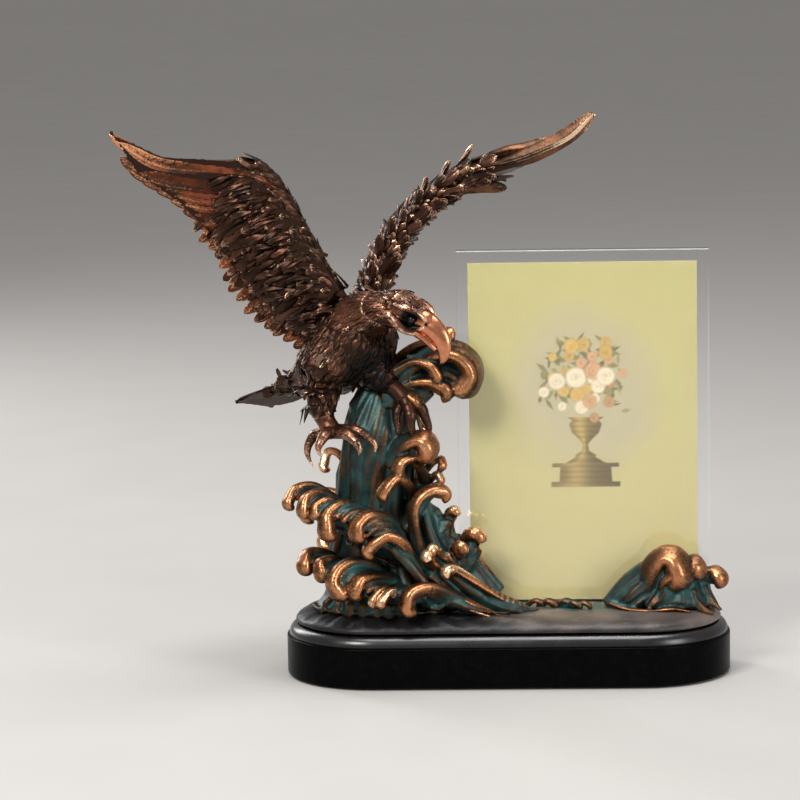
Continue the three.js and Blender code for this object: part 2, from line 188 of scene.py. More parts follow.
def tube(path, reference, wide, high, shape=None, sides=24):
    """A closed solid swept along a path. shape(along, angle) scales its section, for ridges and lobes."""
    tangent, side, rise = frames(path, reference)
    angle = np.linspace(0, 2 * np.pi, sides, endpoint=False)
    along = np.linspace(0, 1, len(path))
    scale = np.ones((len(path), sides)) if shape is None else shape(along[:, None], angle[None, :])
    across = (np.asarray(wide)[:, None] * scale * np.cos(angle))[..., None] * side[:, None]
    upward = (np.asarray(high)[:, None] * scale * np.sin(angle))[..., None] * rise[:, None]
    rings = path[:, None] + across + upward
    vertices = np.vstack([rings.reshape(-1, 3), path[0], path[-1]])
    faces = grid_faces(len(path), sides, True)
    first, last, start = len(vertices) - 2, len(vertices) - 1, (len(path) - 1) * sides
    for i in range(sides):
        n = (i + 1) % sides
        faces += [[first, n, i], [last, start + i, start + n]]
    return vertices, faces


# ---------------------------------------------------------------- mesh finishing

def applied(piece, *modifiers):
    """The piece with modifiers added as (type, settings) and applied."""
    for kind, settings in modifiers:
        modifier = piece.modifiers.new(kind.lower(), kind)
        for key, value in settings.items():
            setattr(modifier, key, value)
    evaluated = piece.evaluated_get(bpy.context.evaluated_depsgraph_get())
    mesh = bpy.data.meshes.new_from_object(evaluated)
    piece.modifiers.clear()
    old, piece.data = piece.data, mesh
    bpy.data.meshes.remove(old)
    mesh.name = piece.name
    return piece


def remeshed(piece, voxel, rounds):
    """One continuous skin over the joined sweeps, softened like a casting."""
    skin = ("REMESH", {"mode": "VOXEL", "voxel_size": voxel, "adaptivity": 0.0})
    return applied(piece, skin, ("SMOOTH", {"factor": 0.5, "iterations": rounds}))


def mesh_values(items, name, width, kind=np.float32):
    """One property of all the items of a mesh, as the rows of an array."""
    values = np.empty(len(items) * width, kind)
    items.foreach_get(name, values)
    return values.reshape(-1, width)


def coordinates(mesh):
    return mesh_values(mesh.vertices, "co", 3).astype(float)


def normals(mesh):
    return mesh_values(mesh.vertex_normals, "vector", 3).astype(float)


def edges(mesh):
    return mesh_values(mesh.edges, "vertices", 2, np.int32)


def neighbour_mean(values, pairs, count):
    """The mean over each vertex's neighbours."""
    a, b = pairs.T
    total = [np.bincount(a, column[b], count) + np.bincount(b, column[a], count) for column in values.T]
    number = np.bincount(pairs.ravel(), minlength=count)
    return np.stack(total, 1) / np.maximum(number, 1)[:, None]


def relief(mesh, rounds=12):
    """How far each vertex stands out (above 0) or lies in a hollow (below 0), about -1 to 1."""
    point, normal, pairs = coordinates(mesh), normals(mesh), edges(mesh)
    smooth = point.copy()
    for _ in range(rounds):
        smooth = 0.5 * smooth + 0.5 * neighbour_mean(smooth, pairs, len(point))
    height = ((point - smooth) * normal).sum(1)
    for _ in range(2):
        height = neighbour_mean(height[:, None], pairs, len(point))[:, 0]
    return height / max(np.percentile(np.abs(height), 92), 1e-9)


def shade_smooth(piece, angle=None):
    piece.data.polygons.foreach_set("use_smooth", [True] * len(piece.data.polygons))
    if angle is not None:
        piece.data.set_sharp_from_angle(angle=math.radians(angle))
    return piece


def waves(points, seed, size):
    """Smooth seeded noise in about -1 to 1, from a few plane waves of about the given size."""
    random = np.random.default_rng(seed)
    total = np.zeros(len(points))
    for _ in range(7):
        direction = unit(random.normal(size=3)) * random.uniform(0.7, 1.6) * 2 * np.pi / size
        total += np.sin(points @ direction + random.uniform(0, 2 * np.pi))
    return total / 3.5


def smooth_core(node, voxel=1.1 * MM, rounds=14, shrink=0.6 * MM):
    """A CAD solid's shape without its facets, drawn in by some distance: its points and its faces."""
    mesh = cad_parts[node].data
    batch = Batch()
    batch.add(coordinates(mesh), polygons(mesh))
    core = remeshed(batch.build("core"), voxel, rounds)
    result = coordinates(core.data) - normals(core.data) * shrink, polygons(core.data)
    bpy.data.objects.remove(core)
    return result


def drop_crumbs(data, share=0.03):
    """Removes the loose crumbs of a mesh, each smaller than this share of its vertices."""
    mesh = bmesh.new()
    mesh.from_mesh(data)
    waiting, crumbs = set(mesh.verts), []
    while waiting:
        group, edge = [], [waiting.pop()]
        while edge:
            vertex = edge.pop()
            group.append(vertex)
            linked = {link.other_vert(vertex) for link in vertex.link_edges} & waiting
            waiting -= linked
            edge += linked
        if len(group) < share * len(mesh.verts):
            crumbs += group
    bmesh.ops.delete(mesh, geom=crumbs, context="VERTS")
    mesh.to_mesh(data)
    mesh.free()


# ---------------------------------------------------------------- materials

class Shader:
    """A Principled material and the few node helpers that the finishes share."""

    def __init__(self, name, **settings):
        self.material = bpy.data.materials.new(name)
        self.material.use_nodes = True
        self.tree = self.material.node_tree
        self.surface = self.tree.nodes["Principled BSDF"]
        for key, value in settings.items():
            self.surface.inputs[key.replace("_", " ")].default_value = value

    def node(self, kind, settings=None, **inputs):
        made = self.tree.nodes.new(kind)
        for key, value in (settings or {}).items():
            setattr(made, key, value)
        for key, value in inputs.items():
            self.put(made.inputs[key.replace("_", " ")], value)
        return made

    def put(self, painted_socket_shade, value):
        if hasattr(value, "is_output"):
            self.tree.links.new(value, painted_socket_shade)
        else:
            painted_socket_shade.default_value = value

    def set(self, name, value):
        self.put(self.surface.inputs[name], value)

    def marks(self):
        """The three marks stored on the mesh: rubbed, patina and tone. On the feathers, head, feet and beak
        the second mark is painted shade, and on the wave the rubbed mark also carries a painted highlight.
        """
        layer = self.node("ShaderNodeAttribute", {"attribute_name": "marks"})
        return self.node("ShaderNodeSeparateColor", Color=layer.outputs["Color"]).outputs

    def noise(self, size, detail=3.0, roughness=0.55):
        """Noise of about this size in metres, fixed to the piece."""
        where = self.node("ShaderNodeTexCoord").outputs["Object"]
        made = self.node("ShaderNodeTexNoise", Vector=where, Scale=1 / size, Detail=detail,
                         Roughness=roughness)
        return made.outputs["Fac"]

    def math(self, operation, a, b, clamp=False):
        made = self.node("ShaderNodeMath", {"operation": operation, "use_clamp": clamp})
        self.put(made.inputs[0], a)
        self.put(made.inputs[1], b)
        return made.outputs[0]

    def speckled(self, mark, grain, amount):
        """A mark, 0 to 1, broken up by noise."""
        return self.math("ADD", mark, self.span(grain, 0.3, 0.7, -amount, amount), True)

    def span(self, value, low, high, to_low=0.0, to_high=1.0):
        """Value mapped smoothly from low..high to another range."""
        made = self.node("ShaderNodeMapRange", {"interpolation_type": "SMOOTHSTEP"}, Value=value,
                         From_Min=low,
                         From_Max=high, To_Min=to_low, To_Max=to_high)
        return made.outputs["Result"]

    def mix(self, factor, a, b):
        made = self.node("ShaderNodeMix", {"data_type": "RGBA"})
        self.put(made.inputs["Factor"], factor)
        self.put(made.inputs["A"], rgb(a))
        self.put(made.inputs["B"], rgb(b))
        return made.outputs["Result"]

    def bump(self, height, depth):
        made = self.node("ShaderNodeBump", Height=height, Distance=depth, Strength=1.0)
        self.set("Normal", made.outputs["Normal"])


def rgb(colour):
    return (*colour, 1.0) if isinstance(colour, tuple) and len(colour) == 3 else colour


TEAL = (0.018, 0.075, 0.072)
DEEP_TEAL = (0.006, 0.020, 0.020)
UMBER = (0.035, 0.018, 0.010)
# near black, used as the painted shade on the feathers
PAINTED_SHADE_BLACK = (0.007, 0.006, 0.006)
OLIVE_BROWN = (0.13, 0.066, 0.030)
DULL_BROWN = (0.06, 0.036, 0.022)
COPPER = (0.50, 0.215, 0.095)
PALE_GOLD = (0.92, 0.63, 0.38)


def wave_finish():
    """Teal patina in the hollows, brown gold streaks with the flow, and rubbed copper on the crests, which
    the rubbed mark also uses for painted highlights.
    """
    s = Shader("wave_bronze", Metallic=0.75)
    rubbed, patina, tone = s.marks()[:3]
    fine = s.noise(0.9 * MM, 4)
    broad = s.noise(9 * MM, 3)
    ground = s.mix(s.span(tone, 0.25, 0.8), UMBER, OLIVE_BROWN)
    ground = s.mix(s.span(fine, 0.35, 0.7), ground, DULL_BROWN)
    verdigris = s.mix(s.span(broad, 0.35, 0.65), DEEP_TEAL, TEAL)
    cover = s.speckled(patina, fine, 0.18)
    colour = s.mix(s.span(cover, 0.3, 0.75), ground, verdigris)
    worn = s.speckled(rubbed, fine, 0.12)
    colour = s.mix(s.span(worn, 0.22, 0.62), colour, COPPER)
    colour = s.mix(s.span(worn, 0.66, 1.02), colour, PALE_GOLD)
    s.set("Base Color", colour)
    s.set("Metallic", s.span(s.math("SUBTRACT", cover, worn), 0.2, 0.8, 0.92, 0.35))
    s.set("Roughness", s.span(worn, 0.1, 0.8, 0.40, 0.25))
    s.bump(s.noise(0.7 * MM, 3), 0.10 * MM)
    return s.material


def deck_finish():
    """Slate brown sea, dulled, with streaks of rubbed copper and pools of patina."""
    s = Shader("deck_bronze", Metallic=0.55)
    rubbed, patina, tone = s.marks()[:3]
    fine = s.noise(1.1 * MM, 4)
    broad = s.noise(14 * MM, 3)
    ground = s.mix(s.span(broad, 0.3, 0.7), (0.012, 0.012, 0.015), (0.024, 0.022, 0.024))
    ground = s.mix(s.span(tone, 0.1, 0.9), ground, (0.19, 0.155, 0.14))
    cover = s.speckled(patina, fine, 0.15)
    colour = s.mix(s.span(cover, 0.25, 0.8), ground, (0.055, 0.135, 0.120))
    worn = s.speckled(rubbed, fine, 0.12)
    s.set("Base Color", s.mix(s.span(worn, 0.15, 0.8), colour, (0.50, 0.30, 0.19)))
    s.set("Roughness", s.span(worn, 0.1, 0.8, 0.42, 0.30))
    s.bump(s.noise(0.9 * MM, 3), 0.12 * MM)
    return s.material


def feather_finish(name, low, high, bright, rough):
    """Dark bronze feathers, lighter where a cloth has rubbed their ridges and tips, and darkened towards
    black where the second mark paints shade.
    """
    s = Shader(name, Metallic=0.85)
    rubbed, patina, tone = s.marks()[:3]
    fine = s.noise(0.8 * MM, 3)
    ground = s.mix(s.span(tone, 0.1, 0.9), low, high)
    ground = s.mix(s.span(s.noise(7 * MM, 2), 0.35, 0.7), ground, UMBER)
    worn = s.speckled(rubbed, fine, 0.2)
    colour = s.mix(s.span(worn, 0.45, 1.0), ground, bright)
    # Painted shade: the second mark darkens the feathers towards near black at their roots, in the eye
    # sockets, on the shaded breast, on the ground under the feathers and in the hollows of the feet.
    s.set("Base Color", s.mix(s.span(patina, 0.2, 0.9), colour, PAINTED_SHADE_BLACK))
    s.set("Roughness", s.span(worn, 0.2, 0.9, rough, 0.26))
    s.bump(s.noise(0.5 * MM, 2), 0.05 * MM)
    return s.material


def beak_finish():
    """Copper, rubbed bright, with browner roots, and near black where the second mark paints shade in the
    nostrils.
    """
    s = Shader("bright_copper", Metallic=1.0)
    rubbed, patina = s.marks()[:2]
    colour = s.mix(s.span(rubbed, 0.3, 0.9), (0.13, 0.042, 0.022), (0.66, 0.26, 0.14))
    colour = s.mix(s.span(s.noise(2.5 * MM, 3), 0.35, 0.7, 0.0, 0.35), colour, (0.34, 0.13, 0.07))
    # Painted shade: the second mark turns the nostrils near black.
    s.set("Base Color", s.mix(s.span(patina, 0.1, 0.8), colour, (0.01, 0.008, 0.007)))
    s.set("Roughness", s.span(s.noise(1.5 * MM, 3), 0.3, 0.7, 0.20, 0.30))
    return s.material


def eye_finish():
    """Near black, a little glossy."""
    s = Shader("eye_dark", Metallic=0.4)
    s.set("Base Color", s.mix(s.noise(1.0 * MM, 2), (0.006, 0.006, 0.007), (0.02, 0.015, 0.012)))
    s.set("Roughness", s.span(s.noise(0.8 * MM, 2), 0.3, 0.7, 0.12, 0.2))
    return s.material


def lacquer_finish():
    """Black lacquer, glossier on the bead than on the wall. The first mark tells which is which."""
    s = Shader("black_lacquer", Metallic=0.0, IOR=1.5)
    bead = s.marks()[0]
    dust = s.noise(3 * MM, 4)
    s.set("Base Color", s.mix(s.span(dust, 0.4, 0.8), (0.0012, 0.0012, 0.0015), (0.0025, 0.0025, 0.003)))
    s.set("Roughness", s.span(s.noise(12 * MM, 3), 0.3, 0.7, 0.24, 0.32))
    s.set("Specular IOR Level", s.span(bead, 0.1, 0.9, 0.03, 0.70))
    s.bump(s.noise(14 * MM, 2), 0.02 * MM)
    return s.material


def acrylic_finish():
    """Clear acrylic sheet."""
    s = Shader("clear_acrylic", Metallic=0.0, Roughness=0.03, IOR=1.49, Transmission_Weight=1.0)
    s.set("Base Color", s.mix(s.noise(30 * MM, 1), (0.965, 0.975, 0.98), (0.985, 0.99, 0.99)))
    return s.material


def steel_finish():
    """Plain steel for the screws and dowels."""
    s = Shader("plain_steel", Metallic=1.0)
    s.set("Base Color", s.mix(s.noise(1.5 * MM, 3), (0.42, 0.42, 0.43), (0.58, 0.58, 0.59)))
    s.set("Roughness", s.span(s.noise(0.6 * MM, 3), 0.3, 0.7, 0.28, 0.42))
    return s.material


def felt_finish():
    """Black felt."""
    s = Shader("black_felt", Metallic=0.0, Sheen_Weight=0.4)
    fibre = s.noise(0.35 * MM, 5, 0.7)
    s.set("Base Color", s.mix(fibre, (0.006, 0.006, 0.007), (0.03, 0.03, 0.033)))
    s.set("Roughness", s.span(fibre, 0.3, 0.7, 0.85, 0.98))
    s.bump(fibre, 0.2 * MM)
    return s.material


def print_finish():
    """Photo paper: its picture is the colour stored on the sheet's own fine mesh."""
    s = Shader("photo_paper", Metallic=0.0)
    picture = s.node("ShaderNodeAttribute", {"attribute_name": "picture"}).outputs["Color"]
    grain = s.noise(0.5 * MM, 2)
    s.set("Base Color", s.mix(s.span(grain, 0.3, 0.7, 0.0, 0.05), picture, (0.25, 0.22, 0.12)))
    s.set("Roughness", s.span(grain, 0.2, 0.8, 0.38, 0.46))
    return s.material


WAVE, DECK = wave_finish(), deck_finish()
DARK_FEATHER = feather_finish("dark_bronze_feather", (0.024, 0.010, 0.006), (0.100, 0.041, 0.025),
                              (0.70, 0.43, 0.27), 0.36)
RED_FEATHER = feather_finish("red_bronze_feather", (0.075, 0.018, 0.008), (0.27, 0.070, 0.030),
                             (0.85, 0.40, 0.20), 0.38)
HEAD_FEATHER = feather_finish("copper_bronze_feather", (0.075, 0.027, 0.015), (0.25, 0.100, 0.058),
                              (0.92, 0.56, 0.38), 0.36)
GOLD_FEATHER = feather_finish("golden_bronze_feather", (0.045, 0.019, 0.009), (0.15, 0.066, 0.033),
                              (0.98, 0.70, 0.46), 0.34)
TAIL_FEATHER = feather_finish("olive_bronze_feather", (0.045, 0.020, 0.010), (0.13, 0.062, 0.034),
                              (0.62, 0.40, 0.24), 0.55)
BEAK, EYE_DARK, LACQUER, ACRYLIC = beak_finish(), eye_finish(), lacquer_finish(), acrylic_finish()
STEEL, FELT, PRINT = steel_finish(), felt_finish(), print_finish()


def finish_piece(piece, material, body, slot, *nodes):
    """Gives a made piece its material and body, and lets it stand for CAD nodes. The slot is not used."""
    paint(piece, material)
    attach(piece, body)
    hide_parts(*nodes)


def paint(piece, material):
    piece.data.materials.clear()
    piece.data.materials.append(material)


# ---------------------------------------------------------------- base: plinth, felt and screws

END_STEPS = 72
SIDE_STEPS = 96
BEAD_DROP = 6.2 * MM
BEAD_SIZE = np.array([4.6, 4.9]) * MM
SLOT_PLAY = 0.4 * MM


def stadium(half_length, radius):
    """Points round a stadium of this half length and end radius, evenly spread."""
    straight = half_length - radius
    ring = []
    for sign in (1, -1):
        turn = np.linspace(-np.pi / 2, np.pi / 2, END_STEPS + 1)
        ends = np.stack([straight + radius * np.cos(turn), radius * np.sin(turn)], 1) * sign
        side = np.linspace(0, 1, SIDE_STEPS + 1)[1:-1, None]
        after = np.array([straight, radius]) * sign
        before = np.array([-straight, radius]) * sign
        ring += [ends, after + (before - after) * side]
    return np.vstack(ring)


def rounded(corners, radius, steps=4):
    """A profile with each inner corner (inset, height) turned into a small arc."""
    corners = [np.array(c, float) for c in corners]
    out = [corners[0]]
    for before, corner, after in zip(corners, corners[1:], corners[2:]):
        a = corner + unit(before - corner) * min(radius, 0.45 * np.linalg.norm(before - corner))
        b = corner + unit(after - corner) * min(radius, 0.45 * np.linalg.norm(after - corner))
        for t in np.linspace(0, 1, steps + 1):
            out.append((1 - t) ** 2 * a + 2 * t * (1 - t) * corner + t * t * b)
    return out + [corners[-1]]


def moulding(name, half_length, radius, profile):
    """A closed solid with a profile of (inset, height) carried round a stadium."""
    count = len(stadium(half_length, radius))
    rings = [np.column_stack([stadium(half_length - i, radius - i), np.full(count, z)]) for i, z in profile]
    batch = Batch()
    batch.add(np.vstack(rings), capped_faces(len(rings), count))
    return batch.build(name)


def cut_box(piece, low, high):
    """Cuts a box out of a piece."""
    bpy.ops.mesh.primitive_cube_add(size=1, location=(Vector(low) + Vector(high)) / 2)
    tool = bpy.context.object
    tool.scale = Vector(high) - Vector(low)
    bpy.context.view_layer.update()
    applied(piece, ("BOOLEAN", {"operation": "DIFFERENCE", "object": tool, "solver": "EXACT"}))
    bpy.data.objects.remove(tool)


def holder_slot():
    """The slot that the clear holder stands in, a little wider than the holder."""
    low, high = node_box("sleeve_front")[0], node_box("sleeve_rear")[1]
    play = np.array([SLOT_PLAY, SLOT_PLAY, 0])
    return low - play - UP * 0.3 * MM, high + play


def make_plinth():
    """A lacquered plinth: an upright wall, a round bead over it and a step up to the sea."""
    low, high = node_box("plinth")
    half, radius, top = high
    wall = top - BEAD_DROP
    foot = [(1.5 * MM, low[2]), (0.0, low[2]), (0.0, wall), (1.0 * MM, wall + 0.15 * MM)]
    turn = np.linspace(0, math.pi / 2, 16)[:, None]
    bead = BEAD_SIZE * np.hstack([1 - np.cos(turn), np.sin(turn)]) + [1.0 * MM, wall + 0.4 * MM]
    profile = [*rounded(foot, 0.7 * MM), *bead, (6.5 * MM, top - 0.6 * MM), (7.0 * MM, top)]
    plinth = moulding("plinth_lacquered", half, radius, profile)
    cut_box(plinth, *holder_slot())
    height = coordinates(plinth.data)[:, 2]
    mark = np.clip((height - wall - 0.3 * MM) / MM, 0, 1)
    write_marks(plinth.data, mark[:, None] * [1, 0, 0])
    finish_piece(shade_smooth(plinth, 28), LACQUER, "statuette", "black_lacquer", "plinth")


make_plinth()
paint(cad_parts["base_felt"], FELT)
for name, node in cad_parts.items():
    if name.startswith("screw") or name.endswith("_pin"):
        paint(node, STEEL)


# ---------------------------------------------------------------- sea deck

DECK_EDGE = [(0.0, 0.0), (-0.1, 0.8), (0.3, 1.7), (1.6, 2.8), (4.0, 3.9), (7.5, 4.8), (12.0, 5.3)]
DECK_STEPS = 600


def deck_relief(point):
    """How far the sea rises above the flat deck: streams out of the wave, chop and small dimples."""
    centre = spot("wave_column", 45, 50, 0)
    across = point - centre
    distance = np.linalg.norm(across[:, :2], axis=1)
    bearing = np.arctan2(across[:, 1], across[:, 0])
    bend = 0.5 * waves(point, 11, 60 * MM)
    streams = 0.7 * np.sin(17 * bearing + 3 * bend + distance / (24 * MM))
    streams += 0.4 * np.sin(41 * bearing + 5 * bend)
    fade = np.exp(-((distance - 40 * MM) / (34 * MM)) ** 2)
    swell = 0.5 * waves(point, 12, 26 * MM) + 0.25 * waves(point, 13, 9 * MM) + 0.10 * waves(point, 14,
                                                                                             3.5 * MM)
    return (1.15 * streams * fade + 0.7 * swell) * MM


def ring_of(half_length, radius):
    """Evenly spaced points round the edge of the deck, or round a smaller stadium inside it."""
    fine = stadium(half_length, radius)
    closed = np.vstack([fine, fine[:1]])
    travel = np.concatenate([[0], np.cumsum(np.linalg.norm(np.diff(closed, axis=0), axis=1))])
    even = np.linspace(0, travel[-1], DECK_STEPS, endpoint=False)
    return np.stack([np.interp(even, travel, closed[:, k]) for k in range(2)], 1)


def make_deck():
    """The sea: a rounded edge rising to a surface with relief, with the holder's slot cut out of it."""
    low, high = node_box("sea_deck")
    half, radius = high[:2]
    edge = spline([(inset * MM, low[2] + height * MM) for inset, height in DECK_EDGE], 22)
    inner = np.linspace(edge[-1, 0], radius - 0.1 * MM, 40)[1:]
    levels = [*edge, *[(inset, edge[-1, 1]) for inset in inner]]
    rings = [np.column_stack([ring_of(half - i, radius - i), np.full(DECK_STEPS, z)]) for i, z in levels]
    points = np.vstack(rings)
    lift = np.clip((points[:, 2] - low[2]) / (high[2] - low[2]), 0, 1) ** 2
    points[:, 2] += deck_relief(points) * lift
    squashed = points * [1, 1, 0.35]
    melt = 0.16 * waves(squashed, 15, 12 * MM) + 0.08 * waves(squashed, 16, 4 * MM)
    melt *= (1 - lift) * np.clip((points[:, 2] - low[2]) / MM, 0, 1)
    points += unit(points * [0.6, 1, 0]) * melt[:, None] * MM
    batch = Batch()
    batch.add(points, capped_faces(len(rings), DECK_STEPS))
    deck = batch.build("sea_deck_cast")
    cut_box(deck, *holder_slot())
    paint_deck(deck.data)
    finish_piece(shade_smooth(deck, 50), DECK, "statuette", "patina_bronze", "sea_deck")


def paint_deck(mesh):
    """Dark sea round the wave, paler where the streams run out, and a pool of patina by the ripples."""
    point = coordinates(mesh)
    high = relief(mesh, 30)
    out = point - spot("flank_breaker", 95, 30, 5)
    stream = np.exp(-(out[:, 0] / (30 * MM)) ** 2 - ((out[:, 1] + 0.35 * out[:, 0]) / (9 * MM)) ** 2)
    shore = point - spot("ripple_right", 90, 60, 0)
    lagoon = np.exp(-(shore[:, 0] / (26 * MM)) ** 2 - (shore[:, 1] / (10 * MM)) ** 2)
    flat = point - spot("ripple_left", 50, 20, 0)
    pale = np.clip((flat[:, 0] + 42 * MM) / (36 * MM), 0,
                   1) * np.clip(1.5 - np.abs(flat[:, 1]) / (22 * MM), 0.3, 1)
    rubbed = np.clip(stream * (0.05 + 0.3 * high) + 0.12 * np.clip(high, 0, 1) * (1 + pale), 0, 1)
    patina = np.clip(0.85 * lagoon + 0.12 * (1 - pale) - 0.25 * high, 0, 1)
    write_marks(mesh, np.stack([rubbed, patina,
                                pale * (0.8 + 0.2 * waves(point, 17, 18 * MM)) + 0.1 * high], 1))


# ---------------------------------------------------------------- wave castings

SWEEP_SIDES = 24
HOLDER_GAP = 0.3 * MM


class Casting:
    """Sweeps joined into one skin for a CAD node. The skin keeps the rub and tone of the nearest sweep."""

    def __init__(self, node, voxel, shrink=None):
        """A shrink fills the inside with a copy of the CAD solid, drawn in by that distance."""
        self.node, self.batch, self.voxel = node, Batch(), voxel
        self.places, self.rubs, self.tones = [], [], []
        if shrink is not None:
            point, faces = smooth_core(node, 0.85 * MM, 3, shrink)
            self.batch.add(point, faces)
            self.note(point, np.zeros(len(point)), 0.3)

    def note(self, places, rubs, tone):
        self.places.append(places)
        self.rubs.append(rubs)
        self.tones.append(np.full(len(places), tone))

    def sweep(self, path, wide, high, rub=(0.0, 0.0), tone=0.5, grooves=0, depth=0.12, reference=UP):
        """A sweep whose back is rubbed as told along its length, and whose underside much less: partly wear,
        partly a painted highlight on the back and painted shade underneath.
        """
        def section(along, angle):
            fade = np.sin(np.pi * np.clip(along, 0, 1)) ** 0.5
            return 1 + depth * fade * np.cos(grooves * angle + 2 * along)
        vertices, faces = tube(path, reference, wide, high, section if grooves else None, SWEEP_SIDES)
        self.batch.add(vertices, faces)
        along = np.interp(np.linspace(0, 1, len(path)), np.linspace(0, 1, len(rub)), rub)
        # Painted light on top of the wear: the back of the sweep is rubbed brighter and its underside
        # darker.
        back = 0.72 + 0.38 * np.sin(np.linspace(0, 2 * np.pi, SWEEP_SIDES, endpoint=False))
        self.note(vertices[:-2], (along[:, None] * np.clip(back, 0.3, 1)).ravel(), tone)

    def lobes(self, table, flat=0.92, rub=1.0):
        for places, size in table:
            lobe(self, spots(self.node, places), size * MM, flat, rub)

    def sheets(self, table, flat=0.5):
        for places, size in table:
            sheet(self, spots(self.node, places), size * MM, flat)

    def finish(self):
        """Joins the sweeps, marks their skin and lets it stand for the CAD node."""
        piece = remeshed(self.batch.build(self.node + "_cast"), self.voxel, 3)
        drop_crumbs(piece.data)
        mesh = piece.data
        point = clear_of_holder(coordinates(mesh))
        mesh.vertices.foreach_set("co", point.ravel())
        mesh.update()
        tree = KDTree(sum(map(len, self.places)))
        for i, place in enumerate(np.vstack(self.places)):
            tree.insert(place, i)
        tree.balance()
        nearest = np.array([tree.find(p)[1] for p in point])
        high, facing = relief(mesh), normals(mesh)[:, 2]
        rub, tone = np.concatenate(self.rubs)[nearest], np.concatenate(self.tones)[nearest]
        # Painted highlight: faces that look up gain rub, and faces that look down lose it, on top of the
        # wear on the crests.
        rubbed = rub + 0.40 * (high - 0.35) * (0.35 + rub) + 0.18 * facing * rub
        patina = 0.72 - 1.25 * rub - 0.42 * high + 0.18 * waves(point, 5, 16 * MM)
        streak = tone + 0.25 * high + 0.15 * waves(point * [1, 1, 0.25], 6, 5 * MM)
        write_marks(mesh, np.stack([rubbed, patina, streak], 1))
        finish_piece(shade_smooth(piece), WAVE, "statuette", "patina_bronze", self.node)


def clear_of_holder(point):
    """The points, with any in the holder's way moved to the near side of its path."""
    low, high = holder_slot()
    low, high = low[:2] - HOLDER_GAP, high[:2] + HOLDER_GAP
    x, y, z = point.T
    inside = (x > low[0]) & (y > low[1]) & (y < high[1]) & (z > holder_slot()[0][2])
    to_front = y - low[1] - HOLDER_GAP < 6 * MM
    moved = point.copy()
    moved[inside & to_front, 1] = low[1]
    moved[inside & ~to_front, 0] = low[0]
    return moved


def tucked(points, size, turn=160):
    """A path through points that ends by curling under, back towards where it came from."""
    path = spline(points, 22)
    ahead = unit(points[-1] - points[-2])
    inward = unit(points[0] - points[-1]) - 0.5 * UP
    under = unit(inward - ahead * inward.dot(ahead))
    angle = np.radians(np.linspace(0, turn, 8))[1:, None]
    tuck = path[-1] + 0.34 * size * (np.sin(angle) * ahead + (1 - np.cos(angle)) * under)
    return np.vstack([path, tuck])


LOBE_WIDTH = [1.3, 1.1, 0.98, 0.98, 1.12, 1.26, 1.24, 0.85]
LOBE_RUB = [0.0, 0.05, 0.45, 0.85, 1.0, 1.0, 0.9, 0.5]
RIB_WIDTH = [0.7, 1.0, 1.0, 0.85, 0.5]
RIB_SINK, WIDEST_RIB = 0.9 * MM, 8 * MM


def lobe(cast, points, size, flat=0.92, rub=1.0, tone=0.5):
    """A tongue of water: a drawn-out root, a raised back and a round lip curled under."""
    path = tucked(points, size)
    wide = spline(LOBE_WIDTH, len(path)) * size / 2
    outward = path[len(path) * 2 // 3] - (path[0] + path[-1]) / 2
    cast.sweep(path, wide, wide * flat, np.array(LOBE_RUB) * rub, tone, 3, reference=outward)


def fan(cast, lobes, between):
    """A breaker: lobes side by side, with ribs between them that stop short of the lips."""
    random = np.random.default_rng(len(lobes))
    shapes = [(spots(cast.node, places), size * MM) for places, size in lobes]
    for points, size in shapes:
        lobe(cast, points, size, tone=random.uniform(0.3, 0.7))
    for (a, size_a), (b, size_b) in zip(shapes, shapes[1:]):
        path_a, path_b = spline(a, 20), spline(b, 20)
        for k in range(1, between + 1):
            f = k / (between + 1)
            path = (path_a * (1 - f) + path_b * f)[: random.integers(14, 18)] - UP * RIB_SINK
            gap = np.linalg.norm(path_a - path_b, axis=1)[: len(path)] / (between + 1)
            least = (size_a + size_b) / 2 * random.uniform(0.55, 0.75)
            size = np.maximum(np.minimum(gap * 1.5, WIDEST_RIB), least)
            wide = spline(RIB_WIDTH, len(path)) * size / 2
            cast.sweep(path, wide, wide * 0.75, (0.0, 0.05, 0.15, 0.3), random.uniform(0.1, 0.8))


UPPER_LOBES = [
    ([(36, 78, 80), (21, 66, 97), (10, 52, 97), (6, 41, 88)], 4.6),
    ([(39, 63, 79), (25, 44, 94), (17, 29, 92), (15, 24, 83)], 5.0),
    ([(43, 52, 77), (31, 32, 90), (23, 21, 87), (22, 18, 81)], 3.8),
    ([(57, 61, 69), (40, 32, 85), (30, 15, 80), (29, 9, 68)], 6.6),
    ([(71, 61, 59), (65, 32, 73), (55, 12, 79), (48, 4, 73), (47, 4, 65)], 5.6),
    ([(89, 49, 11), (79, 29, 39), (74, 15, 55), (66, 6, 62), (59, 4, 58), (54, 6, 52)], 5.2),
]
LOWER_LOBES = [
    ([(22, 94, 59), (12, 73, 91), (4, 55, 99), (2, 43, 84)], 5.6),
    ([(25, 76, 58), (17, 52, 86), (10, 34, 89), (10, 28, 73)], 5.2),
    ([(39, 64, 61), (27, 34, 87), (19, 18, 81), (16, 12, 62), (18, 12, 48)], 7.0),
    ([(44, 52, 55), (35, 24, 67), (29, 9, 66), (26, 6, 51)], 5.6),
    ([(47, 40, 45), (39, 15, 47), (35, 6, 35)], 4.2),
    ([(50, 34, 44), (43, 12, 46), (39, 3, 35)], 4.2),
    ([(79, 46, 11), (67, 24, 42), (59, 12, 52), (52, 3, 45), (50, 3, 26)], 6.2),
]
